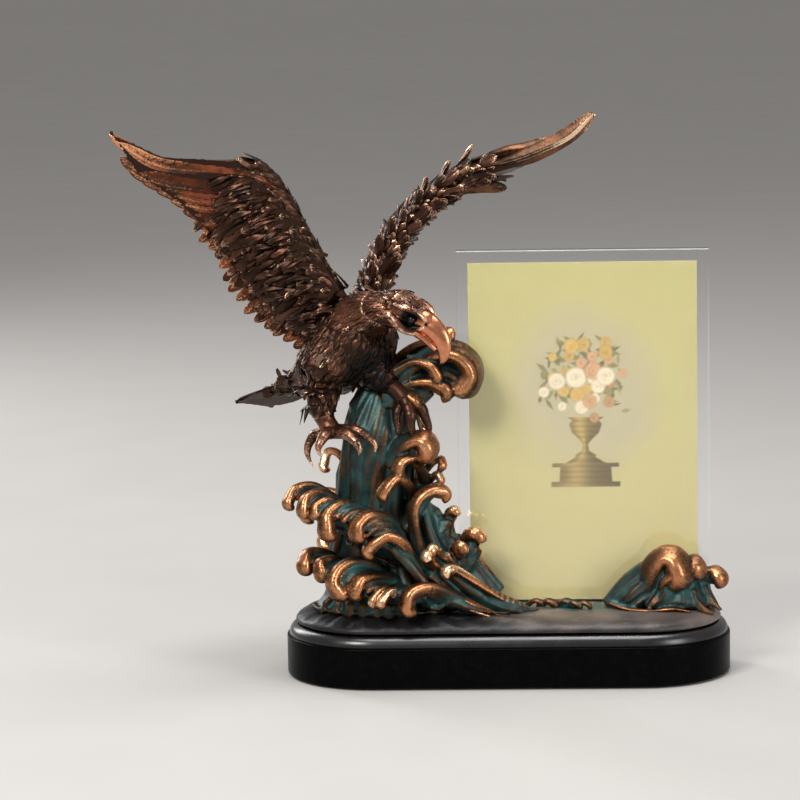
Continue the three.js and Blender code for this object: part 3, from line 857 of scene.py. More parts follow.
FLANK_LOBES = [
    ([(46, 83, 31), (40, 72, 48), (37, 68, 63), (39, 61, 71)], 4.8),
    ([(69, 83, 11), (58, 79, 29), (51, 72, 44), (53, 61, 53)], 7.4),
    ([(60, 68, 15), (49, 58, 30), (43, 47, 41), (44, 36, 47)], 5.4),
    ([(46, 54, 20), (37, 40, 34), (30, 26, 43), (27, 15, 48)], 4.8),
    ([(41, 40, 18), (32, 26, 30), (25, 12, 39), (23, 4, 44)], 5.0),
    ([(85, 47, 2), (65, 40, 14), (51, 29, 26), (41, 15, 34), (37, 8, 34)], 4.4),
]
RIBBON_LOBES = [
    ([(21, 36, 35), (16, 22, 55), (14, 19, 74), (18, 22, 85), (26, 29, 90), (33, 36, 89)], 5.6),
]
FLANK_SHEETS = [
    ([(71, 58, -2), (46, 58, 22), (31, 58, 43), (23, 58, 65), (21, 61, 81)], 17.0),
    ([(85, 72, -2), (60, 72, 16), (46, 72, 34), (37, 72, 50), (31, 72, 65)], 14.0),
    ([(58, 29, -2), (38, 29, 16), (23, 36, 35), (16, 44, 53)], 14.0),
    ([(98, 51, -4), (75, 51, 3), (55, 51, 14), (41, 51, 29)], 12.0),
]
STREAMS = [
    ([(38, 8, 36), (55, 22, 23), (77, 44, 7), (112, 58, -6), (139, 65, -12)], 4.4, 0.5),
    ([(28, 4, 19), (52, 8, 5), (85, 22, -7), (120, 29, -13)], 4.0, 0.7),
    ([(43, 61, 40), (62, 65, 15), (85, 76, 0), (113, 79, -8)], 4.0, 0.6),
    ([(24, 15, 29), (46, 12, 13), (71, 22, -1), (95, 29, -9)], 4.6, 0.45),
    ([(34, 36, 40), (54, 40, 17), (78, 54, 0), (109, 61, -11)], 4.6, 0.4),
]
COLUMN_LOBES = [
    ([(54, 33, 66), (61, 25, 74), (68, 21, 77), (73, 19, 77), (75, 19, 75)], 9.0),
    ([(73, 39, 58), (71, 29, 64), (66, 19, 69), (60, 14, 68), (58, 14, 65)], 4.8),
    ([(66, 33, 49), (64, 21, 57), (58, 12, 61), (53, 8, 59), (49, 8, 55)], 4.8),
    ([(73, 47, 61), (78, 43, 65), (83, 41, 67), (84, 37, 65)], 3.4),
    ([(73, 41, 55), (78, 37, 59), (81, 33, 61), (83, 31, 59)], 3.4),
    ([(69, 43, 94), (70, 41, 88), (72, 37, 82), (77, 33, 78)], 3.2),
]
BACK_LOBES = [
    ([(33, 77, 30), (22, 97, 44), (9, 107, 46), (0, 105, 38)], 6.0),
    ([(41, 81, 22), (33, 105, 32), (19, 119, 32), (11, 117, 24)], 6.6),
    ([(55, 83, 20), (52, 107, 30), (44, 123, 30), (38, 125, 22)], 5.6),
    ([(66, 83, 16), (70, 105, 25), (67, 121, 25), (61, 125, 17)], 6.0),
    ([(33, 69, 53), (22, 85, 65), (14, 97, 66), (11, 95, 60)], 4.0),
    ([(47, 81, 50), (44, 97, 62), (38, 109, 63), (33, 107, 56)], 5.6),
    ([(60, 77, 48), (63, 93, 57), (60, 105, 58), (55, 105, 51)], 4.8),
]
CREST_RIBS = [
    ([(5, 35, 3), (24, 28, 43), (49, 18, 75), (72, 9, 84), (86, 7, 75), (92, 7, 60), (87, 7, 46)], 7.5),
    ([(7, 46, 9), (28, 39, 52), (55, 28, 81), (77, 21, 86), (92, 20, 76), (96, 18, 59), (91, 18, 43)], 8.0),
    ([(10, 59, 12), (32, 53, 55), (56, 42, 84), (79, 35, 90), (93, 32, 77), (97, 32, 58), (93, 32, 42)],
     8.0),
    ([(12, 73, 15), (33, 70, 56), (56, 59, 85), (75, 49, 91), (88, 46, 78), (91, 46, 61), (86, 46, 46)],
     7.5),
    ([(-2, 77, 8), (13, 87, 51), (36, 77, 81), (57, 63, 90), (72, 56, 76), (76, 56, 53)], 8.0),
]
CREST_LOBES = [
    ([(30, 63, 49), (50, 59, 82), (64, 49, 99), (70, 42, 106)], 5.0),
    ([(12, 28, 31), (36, 18, 47), (54, 11, 50), (67, 7, 43)], 6.5),
    ([(17, 25, 26), (31, 11, 36), (41, 4, 29)], 4.6),
    ([(22, 18, 62), (40, 11, 75), (55, 4, 71), (61, 4, 60)], 5.2),
    ([(64, 14, 62), (75, 11, 57), (80, 11, 47), (75, 11, 39)], 5.0),
]
CREST_SHEETS = [
    ([(3, 46, 11), (24, 39, 35), (45, 35, 47), (67, 32, 53)], 15.0),
    ([(5, 42, 4), (26, 35, 17), (43, 32, 28), (56, 28, 37)], 11.0),
    ([(45, 42, 59), (64, 35, 62), (78, 32, 57), (86, 32, 47)], 14.0),
]
SMALL_SHEETS = [
    ([(13, 50, 2), (24, 50, 24), (36, 54, 46), (48, 54, 64)], 17.0),
    ([(39, 42, -8), (46, 46, 17), (54, 46, 43), (59, 46, 62)], 19.0),
    ([(71, 54, -15), (73, 54, 11), (73, 58, 37), (73, 54, 60)], 17.0),
    ([(89, 67, -18), (84, 67, 8), (81, 67, 31), (81, 63, 51)], 11.0),
]
SMALL_LOBES = [
    ([(25, 63, 3), (36, 46, 44), (42, 37, 77), (50, 33, 95), (58, 29, 92), (62, 25, 74)], 11.0),
    ([(79, 67, 1), (74, 58, 40), (69, 50, 74), (73, 42, 87), (76, 33, 79)], 6.4),
    ([(89, 75, -9), (83, 71, 26), (84, 67, 52), (90, 58, 63), (94, 50, 57)], 5.8),
    ([(47, 33, 16), (50, 21, 47), (56, 12, 62)], 4.0),
]
SMALL_STREAMS = [
    ([(70, 46, 60), (72, 29, 28), (80, 21, 3), (90, 25, -9)], 4.6, 0.1),
    ([(81, 63, 51), (85, 46, 20), (96, 42, -7)], 4.6, 0.05),
    ([(8, 37, 10), (22, 21, 2), (37, 8, 1), (53, 8, 1)], 3.4, 0.22),
    ([(43, 8, 1), (58, 4, 5), (72, 8, -2)], 3.0, 0.3),
    ([(44, 46, 44), (31, 29, 19), (22, 25, 3)], 6.0, 0.0),
    ([(54, 33, 44), (43, 21, 19), (37, 16, 5)], 6.0, 0.0),
]


def stream(cast, points, size, rub, seed):
    """A low ridge of running water that thins out towards its end."""
    random = np.random.default_rng(seed)
    path = spline(points, 30)
    wide = spline([0.9, 1.0, 0.9, 0.7, 0.35], 30) * size / 2
    rubs = np.array([0.4, 1.0, 1.0, 0.8, 0.6]) * rub
    cast.sweep(path, wide, wide * 0.6, rubs, random.uniform(0.2, 0.9), 4, 0.18)


def sheet(cast, points, size, flat):
    """A broad grooved sheet of water that fills the space behind the lobes."""
    wide = spline([0.35, 0.85, 1.0, 0.85, 0.5], 30) * size / 2
    cast.sweep(spline(points, 30), wide, wide * flat, (0.0, 0.0), 0.3, 9, 0.07)


STRANDS, STRAND_STEPS = 30, 40
COLUMN_AXIS = [(51, 51, -3), (45, 55, 20), (44, 57, 51), (47, 57, 81), (48, 59, 97)]


def column_strands(cast):
    """Flutes of water that climb the column, wandering together and apart."""
    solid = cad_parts[cast.node].data
    wall = BVHTree.FromPolygons([v.co for v in solid.vertices], polygons(solid))
    random = np.random.default_rng(4)
    axis = spline(spots(cast.node, COLUMN_AXIS), STRAND_STEPS)
    climb = np.linspace(0, 1, STRAND_STEPS)
    for k in range(STRANDS):
        start = 2 * np.pi * (k + random.uniform(-0.3, 0.3)) / STRANDS
        turn = start + 0.55 * climb + 0.10 * np.sin(random.uniform(4, 9) * climb + k)
        size = random.uniform(2.0, 3.2) * MM
        path = []
        for centre, bearing in zip(axis, turn):
            out = np.array([math.cos(bearing), math.sin(bearing), 0])
            hit = wall.ray_cast(Vector(centre), Vector(out))
            reach = hit[3] if hit[0] else 12 * MM
            path.append(centre + out * (reach - 0.75 * size))
        wide = size * (1 + 0.25 * np.sin(7 * climb + 2 * k))
        tone = random.uniform(0, 1)
        cast.sweep(np.array(path), wide, wide * 0.9, (0.1, 0.0, 0.0, 0.05), tone,
                   reference=np.array([0, 1.0, 0]))


def make_column():
    """The trunk of the wave."""
    cast = Casting("wave_column", 0.62 * MM, 2.0 * MM)
    column_strands(cast)
    cast.lobes(COLUMN_LOBES + BACK_LOBES)
    cast.finish()


def make_crest():
    """The curling top of the wave: ribs side by side, with small lobes before and under them."""
    cast = Casting("wave_crest", 0.5 * MM, 5.5 * MM)
    for k, (places, size) in enumerate(CREST_RIBS):
        lobe(cast, spots(cast.node, places), size * MM, 0.85, 0.9 - 0.15 * (k % 2), 0.4 + 0.1 * k)
    cast.sheets(CREST_SHEETS, 0.8)
    cast.lobes(CREST_LOBES, rub=0.7)
    cast.finish()


def make_breaker(node, lobes, shrink=1.9 * MM, between=3, streams=(), sheets=(), ribbons=()):
    """A breaker's fan of lobes, with any ribbons of water over it and sheets and streams under it."""
    cast = Casting(node, 0.55 * MM, shrink)
    fan(cast, lobes, between)
    cast.lobes(ribbons)
    cast.sheets(sheets)
    for i, (places, size, rub) in enumerate(streams):
        stream(cast, spots(node, places), size * MM, rub, i)
    cast.finish()


def make_ripple(node, curls):
    """A tuft of small curls that breaks the flat sea."""
    cast = Casting(node, 0.35 * MM)
    for x, y, size in curls:
        places = [(x - 15, y + 30, -20), (x, y + 10, 30), (x + 15, y - 10, 55), (x + 35, y - 20, 30)]
        lobe(cast, spots(node, places), size * MM, rub=0.38)
    cast.finish()


make_deck()
make_column()
make_crest()
make_breaker("upper_breaker", UPPER_LOBES)
make_breaker("lower_breaker", LOWER_LOBES)
make_breaker("flank_breaker", FLANK_LOBES, 1.0 * MM, 1, STREAMS, FLANK_SHEETS, RIBBON_LOBES)
make_breaker("small_breaker", SMALL_LOBES, 0.7 * MM, 0, SMALL_STREAMS, SMALL_SHEETS)
make_ripple("ripple_left", ((10, 60, 2.4), (50, 35, 3.2)))
make_ripple("ripple_right", ((15, 70, 3.6), (40, 30, 2.4), (75, 25, 2.2)))


# ---------------------------------------------------------------- feathers

class Leaf:
    """A closed feather of unit length and width: places are along, across and thickness."""

    def __init__(self, rows, columns, point=3.0, barbs=0.0):
        along = np.linspace(0, 1, rows) ** 0.85
        across = np.linspace(-1, 1, columns)
        ring = np.concatenate([across, across[1:-1][::-1]])
        top = np.concatenate([np.ones(columns), np.zeros(columns - 2)])
        s, y = np.meshgrid(along, ring, indexing="ij")
        width = np.clip(0.42 + 1.5 * s, 0, 1) * np.clip(1 - s**point, 0.0016, 1) ** 0.5
        rim = 1 - y**2
        quill = np.exp(-((y / 0.16) ** 2)) * (1 - 0.7 * s)
        barb = np.sin(2 * np.pi * (s * barbs - np.abs(y) * 1.3)) * rim if barbs else 0.0
        upper = 0.55 * rim + 0.45 * quill + 0.10 * barb - 0.35 * y**2
        lower = -0.30 * rim - 0.35 * y**2
        thick = (1 - 0.72 * s) + 0.06
        z = np.where(top, upper, lower) * thick
        self.along, self.across, self.lift = s.ravel(), (y * width * 0.5).ravel(), z.ravel()
        rub = 0.55 * np.clip((s - 0.45) / 0.5, 0, 1) + 0.45 * quill + 0.25 * np.abs(y) ** 3
        self.rub = np.where(top, rub, 0.15 * rub).ravel()
        self.shade = np.clip(1 - 2.6 * s, 0, 1).ravel()
        count = len(ring)
        self.faces = capped_faces(rows, count)


SMALL_LEAF = Leaf(6, 5, 3.2)
LONG_LEAF = Leaf(9, 5, 2.0)
FLIGHT_LEAF = Leaf(44, 13, 7.0, 30)
COVERT_LEAF = Leaf(16, 9, 4.0, 9)


def plant(batch, leaf, root, ahead, normal, length, width, thick, tilt, bend, tone, rub, patina=0.0):
    """Sets one straight feather on a surface, raised at its tip and bent a little back down."""
    ahead = unit(ahead - normal * ahead.dot(normal))
    side = np.cross(normal, ahead)
    rise = math.tan(tilt) * leaf.along - bend * leaf.along**2
    out = (rise * length + leaf.lift * thick)[:, None] * normal
    point = root + (leaf.along * length)[:, None] * ahead + (leaf.across * width)[:, None] * side + out
    # The second mark is painted shade: darker at the feather's root, where the one before overlaps it, and
    # darker again by the painted shadow passed in as patina.
    marks = np.stack([leaf.rub * rub, 0.55 * leaf.shade + patina, np.full(len(point), tone)], 1)
    batch.add(point, leaf.faces, marks)


def sweep_feather(batch, leaf, path, normal, width, thick, tone=0.5, rub=1.0):
    """Sets one long feather along a path. normal is the way its face looks, at each point of the path."""
    ahead = unit(np.gradient(path, axis=0))
    normal = unit(normal - ahead * (normal * ahead).sum(1, keepdims=True))
    side = np.cross(normal, ahead)
    place = np.linspace(0, 1, len(path))

    def at(values):
        return np.stack([np.interp(leaf.along, place, column) for column in values.T], 1)

    point = at(path) + (leaf.across * width)[:, None] * at(side) + (leaf.lift * thick)[:, None] * at(normal)
    marks = np.stack([leaf.rub * rub, 0.5 * leaf.shade, np.full(len(point), tone)], 1)
    batch.add(point, leaf.faces, marks)


class Flow:
    """A field of directions that follows the nearest of some lines."""

    def __init__(self, lines):
        self.points = np.vstack(lines)
        self.ways = np.vstack([unit(np.gradient(line, axis=0)) for line in lines])

    def at(self, point):
        away = np.linalg.norm(self.points - point, axis=1)
        weight = 1 / (away + 0.5 * MM) ** 4
        return unit((self.ways * weight[:, None]).sum(0))


def scattered(point, faces, spacing, seed):
    """Points spread over a surface, none closer to another than the spacing, with their normals."""
    random = np.random.default_rng(seed)
    triangles = np.array([t for f in faces for t in ((f[0], f[1], f[2]), (f[0], f[2], f[3]))])
    a, b, c = (point[corner] for corner in triangles.T)
    cross = np.cross(b - a, c - a)
    area = np.linalg.norm(cross, axis=1) / 2
    count = int(9 * area.sum() / spacing**2)
    chosen = random.choice(len(area), count, p=area / area.sum())
    u, v = random.uniform(size=(2, count, 1))
    flip = u + v > 1
    u, v = np.where(flip, 1 - u, u), np.where(flip, 1 - v, v)
    place = a[chosen] + u * (b[chosen] - a[chosen]) + v * (c[chosen] - a[chosen])
    steps = list(itertools.product((-1, 0, 1), repeat=3))
    taken, kept = {}, []
    for i, p in enumerate(place):
        cell = tuple((p // spacing).astype(int))
        around = ((cell[0] + x, cell[1] + y, cell[2] + z) for x, y, z in steps)
        near = [j for other in around for j in taken.get(other, ())]
        if all(np.sum((place[j] - p) ** 2) > spacing**2 for j in near):
            taken.setdefault(cell, []).append(i)
            kept.append(i)
    return place[kept], unit(cross[chosen[kept]])


def hugging(skin, place, normal, ahead, length):
    """The extra slope that keeps a feather's tip close to a skin that curves under or up to it."""
    tip = place + unit(ahead - normal * ahead.dot(normal)) * length
    near, way, _, _ = skin.find_nearest(Vector(tip))
    above = (Vector(tip) - near).dot(way)
    return float(np.clip(-0.85 * above / length, -0.5, 0.6))


STEEPEST = 0.85


def plumage(batch, core, flow, spacing, length, width, seed, where, leaf=SMALL_LEAF, tilt=(0.16, 0.34),
            rub=1.0, thick=0.22, shadow=None):
    """Covers a surface with small feathers that follow a flow, where it says and duller in a shadow."""
    random = np.random.default_rng(seed)
    point, faces = core
    places, ways = scattered(point, faces, spacing, seed)
    skin = BVHTree.FromPolygons(point.tolist(), faces)
    for place, normal in zip(places, ways):
        if not where(place):
            continue
        ahead = flow.at(place) + random.normal(size=3) * 0.13
        size = length * random.uniform(0.82, 1.2)
        slope = min(random.uniform(*tilt) + hugging(skin, place, normal, ahead, size), STEEPEST)
        dark = shadow(place) if shadow else 0.0
        root = place - normal * 0.35 * MM
        across, tone = width * random.uniform(0.85, 1.15), random.uniform(0, 1)
        rubbed = rub * random.uniform(0.6, 1.15) * (1 - 0.8 * dark)
        plant(batch, leaf, root, ahead, normal, size, across, width * thick, slope, 0.14, tone, rubbed,
              0.9 * dark)


def add_core(batch, core):
    """Adds the dark ground under the feathers, partly darkened with painted shade."""
    batch.add(*core, (0.0, 0.35, 0.3))


# ---------------------------------------------------------------- body and tail

def line(node, places, count=24):
    return spline(spots(node, places), count)


SPINE = [(100, 21, 90), (69, 34, 75), (54, 48, 64), (38, 65, 47), (21, 81, 30), (8, 90, 19)]
NEAR_THIGH = [(60, 32, 73), (44, 30, 56), (31, 23, 37), (28, 21, 21), (34, 21, 2)]
FAR_THIGH = [(67, 44, 56), (79, 32, 41), (90, 27, 28)]
BREAST = [(98, 17, 64), (83, 17, 52), (63, 25, 37), (44, 44, 22), (22, 71, 11)]


def make_body():
    """Feathers over the body and both thighs, with a painted shadow, dull and dark, on the breast that the
    wave shades.
    """
    core = smooth_core("eagle_body")
    flow = Flow([line("eagle_body", places) for places in (SPINE, NEAR_THIGH, FAR_THIGH, BREAST)])
    batch = Batch()
    add_core(batch, core)
    breast, ankle = spot("eagle_body", 84, 17, 43), spot("eagle_body", 34, 21, 9)

    # Painted shadow: 1 near the middle of the breast, fading to 0 about 24 mm away.
    def painted_breast_shadow(p):
        return float(np.clip(1.7 - np.linalg.norm(p - breast) / (14 * MM), 0, 1))

    plumage(batch, core, flow, 2.35 * MM, 5.6 * MM, 3.5 * MM, 1, where=lambda p: p[2] > ankle[2],
            shadow=painted_breast_shadow)
    batch.finish("eagle_body_feathers", DARK_FEATHER, "dark_bronze", "eagle_body")


class Blade:
    """A wing or tail: a surface between a leading and a trailing edge, with a thickness."""

    def __init__(self, node, stations):
        self.node = node
        self.lead = spots(node, [s[0] for s in stations])
        self.trail = spots(node, [s[1] for s in stations])
        self.thick = np.array([s[2] for s in stations]) * MM

    def at(self, s, c, face=0.0):
        """The point at s along the span and c from leading to trailing edge, on a face or in the middle."""
        lead, trail = spline_at(self.lead, s), spline_at(self.trail, s)
        lens = 0.5 * np.sin(np.pi * np.clip(0.12 + 0.83 * c, 0, 1)) ** 0.8
        thick = float(spline_at(self.thick[:, None], s)[0])
        return lead + (trail - lead) * c + self.normal(s) * face * thick * lens

    def normal(self, s):
        """The way the blade's front face looks, at s along the span."""
        chord = spline_at(self.trail, s) - spline_at(self.lead, s)
        span = self.middle(min(s + 0.03, 1)) - self.middle(max(s - 0.03, 0))
        return unit(np.cross(chord, span))

    def middle(self, s):
        return (spline_at(self.lead, s) + spline_at(self.trail, s)) / 2

    def path(self, s_run, c_run, face_run, count):
        """A smooth run over the blade, with the face normal at each point."""
        s, c, face = (spline(run, count) for run in (s_run, c_run, face_run))
        points = np.array([self.at(a, b, f) for a, b, f in zip(s, c, face)])
        return points, np.array([self.normal(a) for a in s])


TAIL = Blade("tail_fan", [
    ((81, -10, 103), (104, 21, 84), 8), ((44, 25, 66), (85, 56, 43), 6),
    ((19, 51, 40), (67, 82, 17), 4), ((1, 71, 18), (39, 99, 2), 2),
])
RIGHT_WING = Blade("right_wing", [
    ((102, 75, 20), (84, 99, -4), 15), ((93, 67, 34), (72, 97, 5), 13),
    ((86, 57, 49), (61, 91, 13), 11), ((79, 47, 64), (52, 81, 27), 9.5),
    ((72, 37, 76), (46, 71, 40), 8), ((62, 29, 85), (39, 61, 51), 7),
    ((46, 23, 86), (26, 47, 66), 5), ((23, 13, 88), (10, 27, 79), 3.2),
    ((0, 1, 100), (1, 5, 95), 1.8),
])
LEFT_WING = Blade("left_wing", [
    ((14, -1, 16), (0, 32, 0), 15), ((15, 5, 31), (11, 65, 20), 13.5),
    ((22, 14, 46), (18, 80, 38), 13), ((31, 22, 59), (27, 90, 52), 12.5),
    ((43, 30, 69), (39, 96, 62), 12), ((54, 35, 75), (50, 100, 69), 12),
    ((68, 40, 78), (65, 98, 73), 8), ((82, 47, 85), (80, 85, 82), 4.5),
    ((100, 55, 99), (99, 62, 99), 2),
])


def make_tail():
    """Nine long feathers in a fan, laid from the edges to the middle, and small ones over their roots."""
    batch = Batch()
    core = smooth_core("tail_fan", 0.8 * MM, 6, 1.6 * MM)
    add_core(batch, core)
    for k in (0, 8, 1, 7, 2, 6, 3, 5, 4):
        c = 0.04 + 0.92 * k / 8
        off = abs(k - 4)
        path, normal = TAIL.path([0.05, 0.5, 1.0 - 0.05 * off**1.4 / 4],
                                 [0.5 + 0.5 * (c - 0.5), 0.5 + 0.8 * (c - 0.5), c], [0.7 - 0.1 * off] * 3,
                                 24)
        sweep_feather(batch, FLIGHT_LEAF, path, normal, 6.4 * MM, 1.5 * MM, 0.2 + 0.08 * k, 0.8)
    flow = Flow([TAIL.path([0, 0.5, 1], [c] * 3, [0] * 3, 24)[0] for c in (0.1, 0.5, 0.9)])
    back = TAIL.middle(0.42)
    span = unit(TAIL.middle(1) - TAIL.middle(0))
    plumage(batch, core, flow, 2.6 * MM, 6.5 * MM, 3.6 * MM, 2, where=lambda p: (p - back).dot(span) < 0)
    batch.finish("tail_feathers", TAIL_FEATHER, "dark_bronze", "tail_fan")


# ---------------------------------------------------------------- wings

PRIMARIES, SECONDARIES, EDGE_FEATHERS = 9, 13, 34


def flight_feathers(batch, wing, random, face):
    """Primaries from the wrist to the tip, then secondaries whose tips pass the trailing edge."""
    for k in range(PRIMARIES):
        f = k / (PRIMARIES - 1)
        root, tip = 0.50 - 0.10 * f, 1.0 - 0.36 * f**0.9
        start = 0.10 + 0.42 * f
        side = face * (0.55 - 0.08 * k)
        end = 0.50 if k == 0 else 1.03
        path, normal = wing.path([root, (root + tip) / 2, tip], [start, start + (end - start) * 0.38, end],
                                 [side, side * 0.8, 0.1 * face], 30)
        sweep_feather(batch, FLIGHT_LEAF, path, normal * face, (8.0 - 0.8 * f) * MM, 2.0 * MM,
                      random.uniform(0, 1),
                      1.5 if k == 0 else random.uniform(0.8, 1.2))
    for k in range(SECONDARIES):
        f = k / (SECONDARIES - 1)
        s = 0.60 - 0.56 * f
        path, normal = wing.path([s - 0.05, s - 0.01, s + 0.035], [0.40, 0.75, random.uniform(1.07, 1.16)],
                                 [0.30 * face, 0.25 * face, 0.0], 20)
        sweep_feather(batch, FLIGHT_LEAF, path, normal * face, 6.6 * MM, 1.7 * MM, random.uniform(0, 1))


def covert_rows(batch, wing, random, face):
    """Rows of middling feathers over the roots of the flight feathers."""
    for start, longest, count, width in ((0.56, 0.36, 21, 4.6), (0.42, 0.28, 22, 4.0),
                                         (0.26, 0.24, 22, 3.6)):
        for k in range(count):
            s = 0.03 + (0.74 - 0.3 * start) * k / (count - 1) + random.normal(0, 0.007)
            out = s + random.uniform(0.01, 0.06)
            first, reach = start + random.uniform(-0.03, 0.03), longest * random.uniform(0.72, 1.12)
            path, normal = wing.path([s, out, out + 0.02], [first, first + 0.6 * reach, first + reach],
                                     [0.8 * face, 1.0 * face, random.uniform(0.85, 1.45) * face], 12)
            sweep_feather(batch, COVERT_LEAF, path, normal * face, width * random.uniform(0.75, 1.15) * MM,
                          1.5 * MM,
                          random.uniform(0, 1), random.uniform(0.3, 1.25))


def edge_feathers(batch, wing, random, lift):
    """Feathers that lap along the leading edge towards the tip, some of them standing away from it."""
    for s in np.linspace(0.03, 0.62, EDGE_FEATHERS):
        face = random.choice([-1, 1])
        root = wing.at(s, random.uniform(0.0, 0.12), 0.7 * face)
        ahead = wing.middle(min(s + 0.08, 1)) - wing.middle(s)
        outward = unit(wing.at(s, 0.0) - wing.at(s, 0.5))
        normal = unit(outward + 0.5 * face * wing.normal(s))
        length = 8.5 * random.uniform(0.8, 1.3) * MM
        tilt, tone = random.uniform(*lift), random.uniform(0, 1)
        plant(batch, COVERT_LEAF, root, ahead, normal, length, 0.5 * length, 1.1 * MM, tilt, 0.08, tone, 1.1)


WRIST_FEATHERS = [
    ([(52, 42, 75), (67, 45, 79), (79, 49, 84), (90, 52, 91), (99, 55, 100)], 8.0, 0.75),
    ([(54, 38, 76), (67, 41, 79), (79, 44, 84), (90, 47, 90), (99, 51, 100)], 2.2, 3.0),
    ([(51, 45, 79), (64, 49, 83), (74, 52, 85), (83, 55, 89)], 5.5, 0.8),
    ([(43, 39, 66), (54, 40, 68), (65, 42, 67)], 6.0, 0.75),
    ([(41, 35, 69), (51, 37, 72), (60, 39, 72)], 5.0, 0.7),
    ([(45, 39, 77), (49, 40, 82), (52, 42, 87)], 2.4, 1.5),
    ([(39, 37, 71), (41, 37, 76), (43, 39, 80)], 2.6, 1.3),
    ([(53, 40, 75), (55, 42, 79), (58, 44, 83)], 2.4, 1.1),
    ([(31, 32, 64), (33, 32, 69), (34, 34, 73)], 2.6, 1.0),
]


def wrist_feathers(batch):
    """The left wing's long outer feathers, whose faces turn to the front."""
    facing = unit(np.array([0.05, -1.0, 0.3]))
    for places, width, rub in WRIST_FEATHERS:
        path = line("left_wing", places, 30)
        sweep_feather(batch, FLIGHT_LEAF, path, np.tile(facing, (30, 1)), width * MM, 2.4 * MM, 0.8, rub)


COVERT_END = 0.66


def make_wing(wing, seed, lift, tilt, finish):
    """A wing's flight feathers, and everything that covers their roots."""
    random = np.random.default_rng(seed)
    flight, small = Batch(), Batch()
    core = smooth_core(wing.node, 0.9 * MM, 10, 1.3 * MM)
    add_core(small, core)
    for face in (1, -1):
        flight_feathers(flight, wing, random, face)
        covert_rows(small, wing, random, face)
    lines = [wing.path([s, s + 0.05, s + 0.10], [0, 0.5, 1], [0] * 3, 12)[0] for s in np.linspace(0, 0.85,
                                                                                                  12)]
    lines += [wing.path([0.0, 0.5, 0.9], [c] * 3, [0] * 3, 24)[0] for c in (0.02, 0.12)]
    limit = wing.middle(COVERT_END)
    span = unit(wing.middle(COVERT_END + 0.1) - limit)
    plumage(small, core, Flow(lines), 2.5 * MM, 5.4 * MM, 3.3 * MM, seed, tilt=tilt, rub=1.25,
            where=lambda p: (p - limit).dot(span) < 0)
    edge_feathers(small, wing, random, lift)
    if wing is LEFT_WING:
        wrist_feathers(flight)
    flight.finish(wing.node + "_flight_feathers", finish, "dark_bronze", wing.node)
    small.finish(wing.node + "_coverts", DARK_FEATHER, "dark_bronze", wing.node)


# ---------------------------------------------------------------- head

class HeadFrame:
    """Places on the head in millimetres: forward along the beak, up from it and to the bird's right."""

    def __init__(self):
        self.centre = spot("eagle_head", 66, 30, 60)
        self.forward = unit(spot("eagle_head", 104, 7, 10) - self.centre)
        self.over = unit(UP - self.forward * self.forward.dot(UP))
        self.right = np.cross(self.forward, self.over)

    def at(self, forward, over, right=0.0):
        return self.centre + (forward * self.forward + over * self.over + right * self.right) * MM

    def run(self, places, side=1):
        return np.array([self.at(f, o, side * r) for f, o, r in places])

    def local(self, point):
        away = (point - self.centre) / MM
        return np.stack([away @ self.forward, away @ self.over, away @ self.right], -1)


HEAD = HeadFrame()
NECK = [(23, 76, 34), (35, 60, 51), (49, 45, 62)]
EYE = (6.0, 1.7, 6.9)
NOSTRIL = (12.2, 3.6, 4.2)


def head_tube(batch, places, radii, side=1, flat=1.0):
    """A tube laid on the head. flat is its height over its width."""
    path = spline(HEAD.run(places, side), 26)
    wide = spline(radii, 26) * MM
    batch.add(*tube(path, HEAD.over, wide, wide * flat))


def from_pair(local, place):
    """The distance in millimetres to the nearer of a place on the head and its mirror image."""
    return np.min([np.linalg.norm(local - np.multiply(place, (1, 1, side)), axis=1) for side in (-1, 1)], 0)


def head_skin():
    """Skull, neck, brows and cheeks as one skin."""
    batch = Batch()
    neck = np.vstack([line("eagle_head", NECK, 16),
                      HEAD.run([(-5, 0, 0), (2, 0.5, 0), (7, 0.3, 0), (10, 0, 0)])])
    path = spline(neck[::3], 40)
    batch.add(*tube(path, UP, spline([10.5, 13.4, 12.4, 10.8, 9.6, 7.6, 4.6], 40) * MM,
                    spline([10.0, 13.0, 12.0, 10.2, 8.8, 7.0, 4.4], 40) * MM))
    for side in (-1, 1):
        head_tube(batch, [(12.0, 4.4, 2.6), (9.2, 5.4, 5.0), (5.2, 5.6, 7.0), (0.5, 4.8, 8.2),
                          (-4, 3.2, 8.8)],
                  [0.9, 1.8, 2.2, 2.0, 1.0], side, 0.8)
        head_tube(batch, [(10.5, -2.6, 4.4), (6.5, -3.4, 6.4), (1.5, -3.2, 8.0), (-4, -2.2, 8.8)],
                  [1.4, 2.1, 2.4, 1.6], side)
        head_tube(batch, [(12.2, 2.0, 3.9), (10.2, 0.2, 5.2), (7.4, -1.0, 6.6)], [1.0, 1.3, 1.0], side)
    head_tube(batch, [(-6, 1.0, 0), (0, 1.8, 0), (5, 2.0, 0), (10, 1.6, 0)], [8.6, 8.0, 6.6, 4.4], 1, 0.78)
    return remeshed(batch.build("eagle_head_skin"), 0.42 * MM, 3)


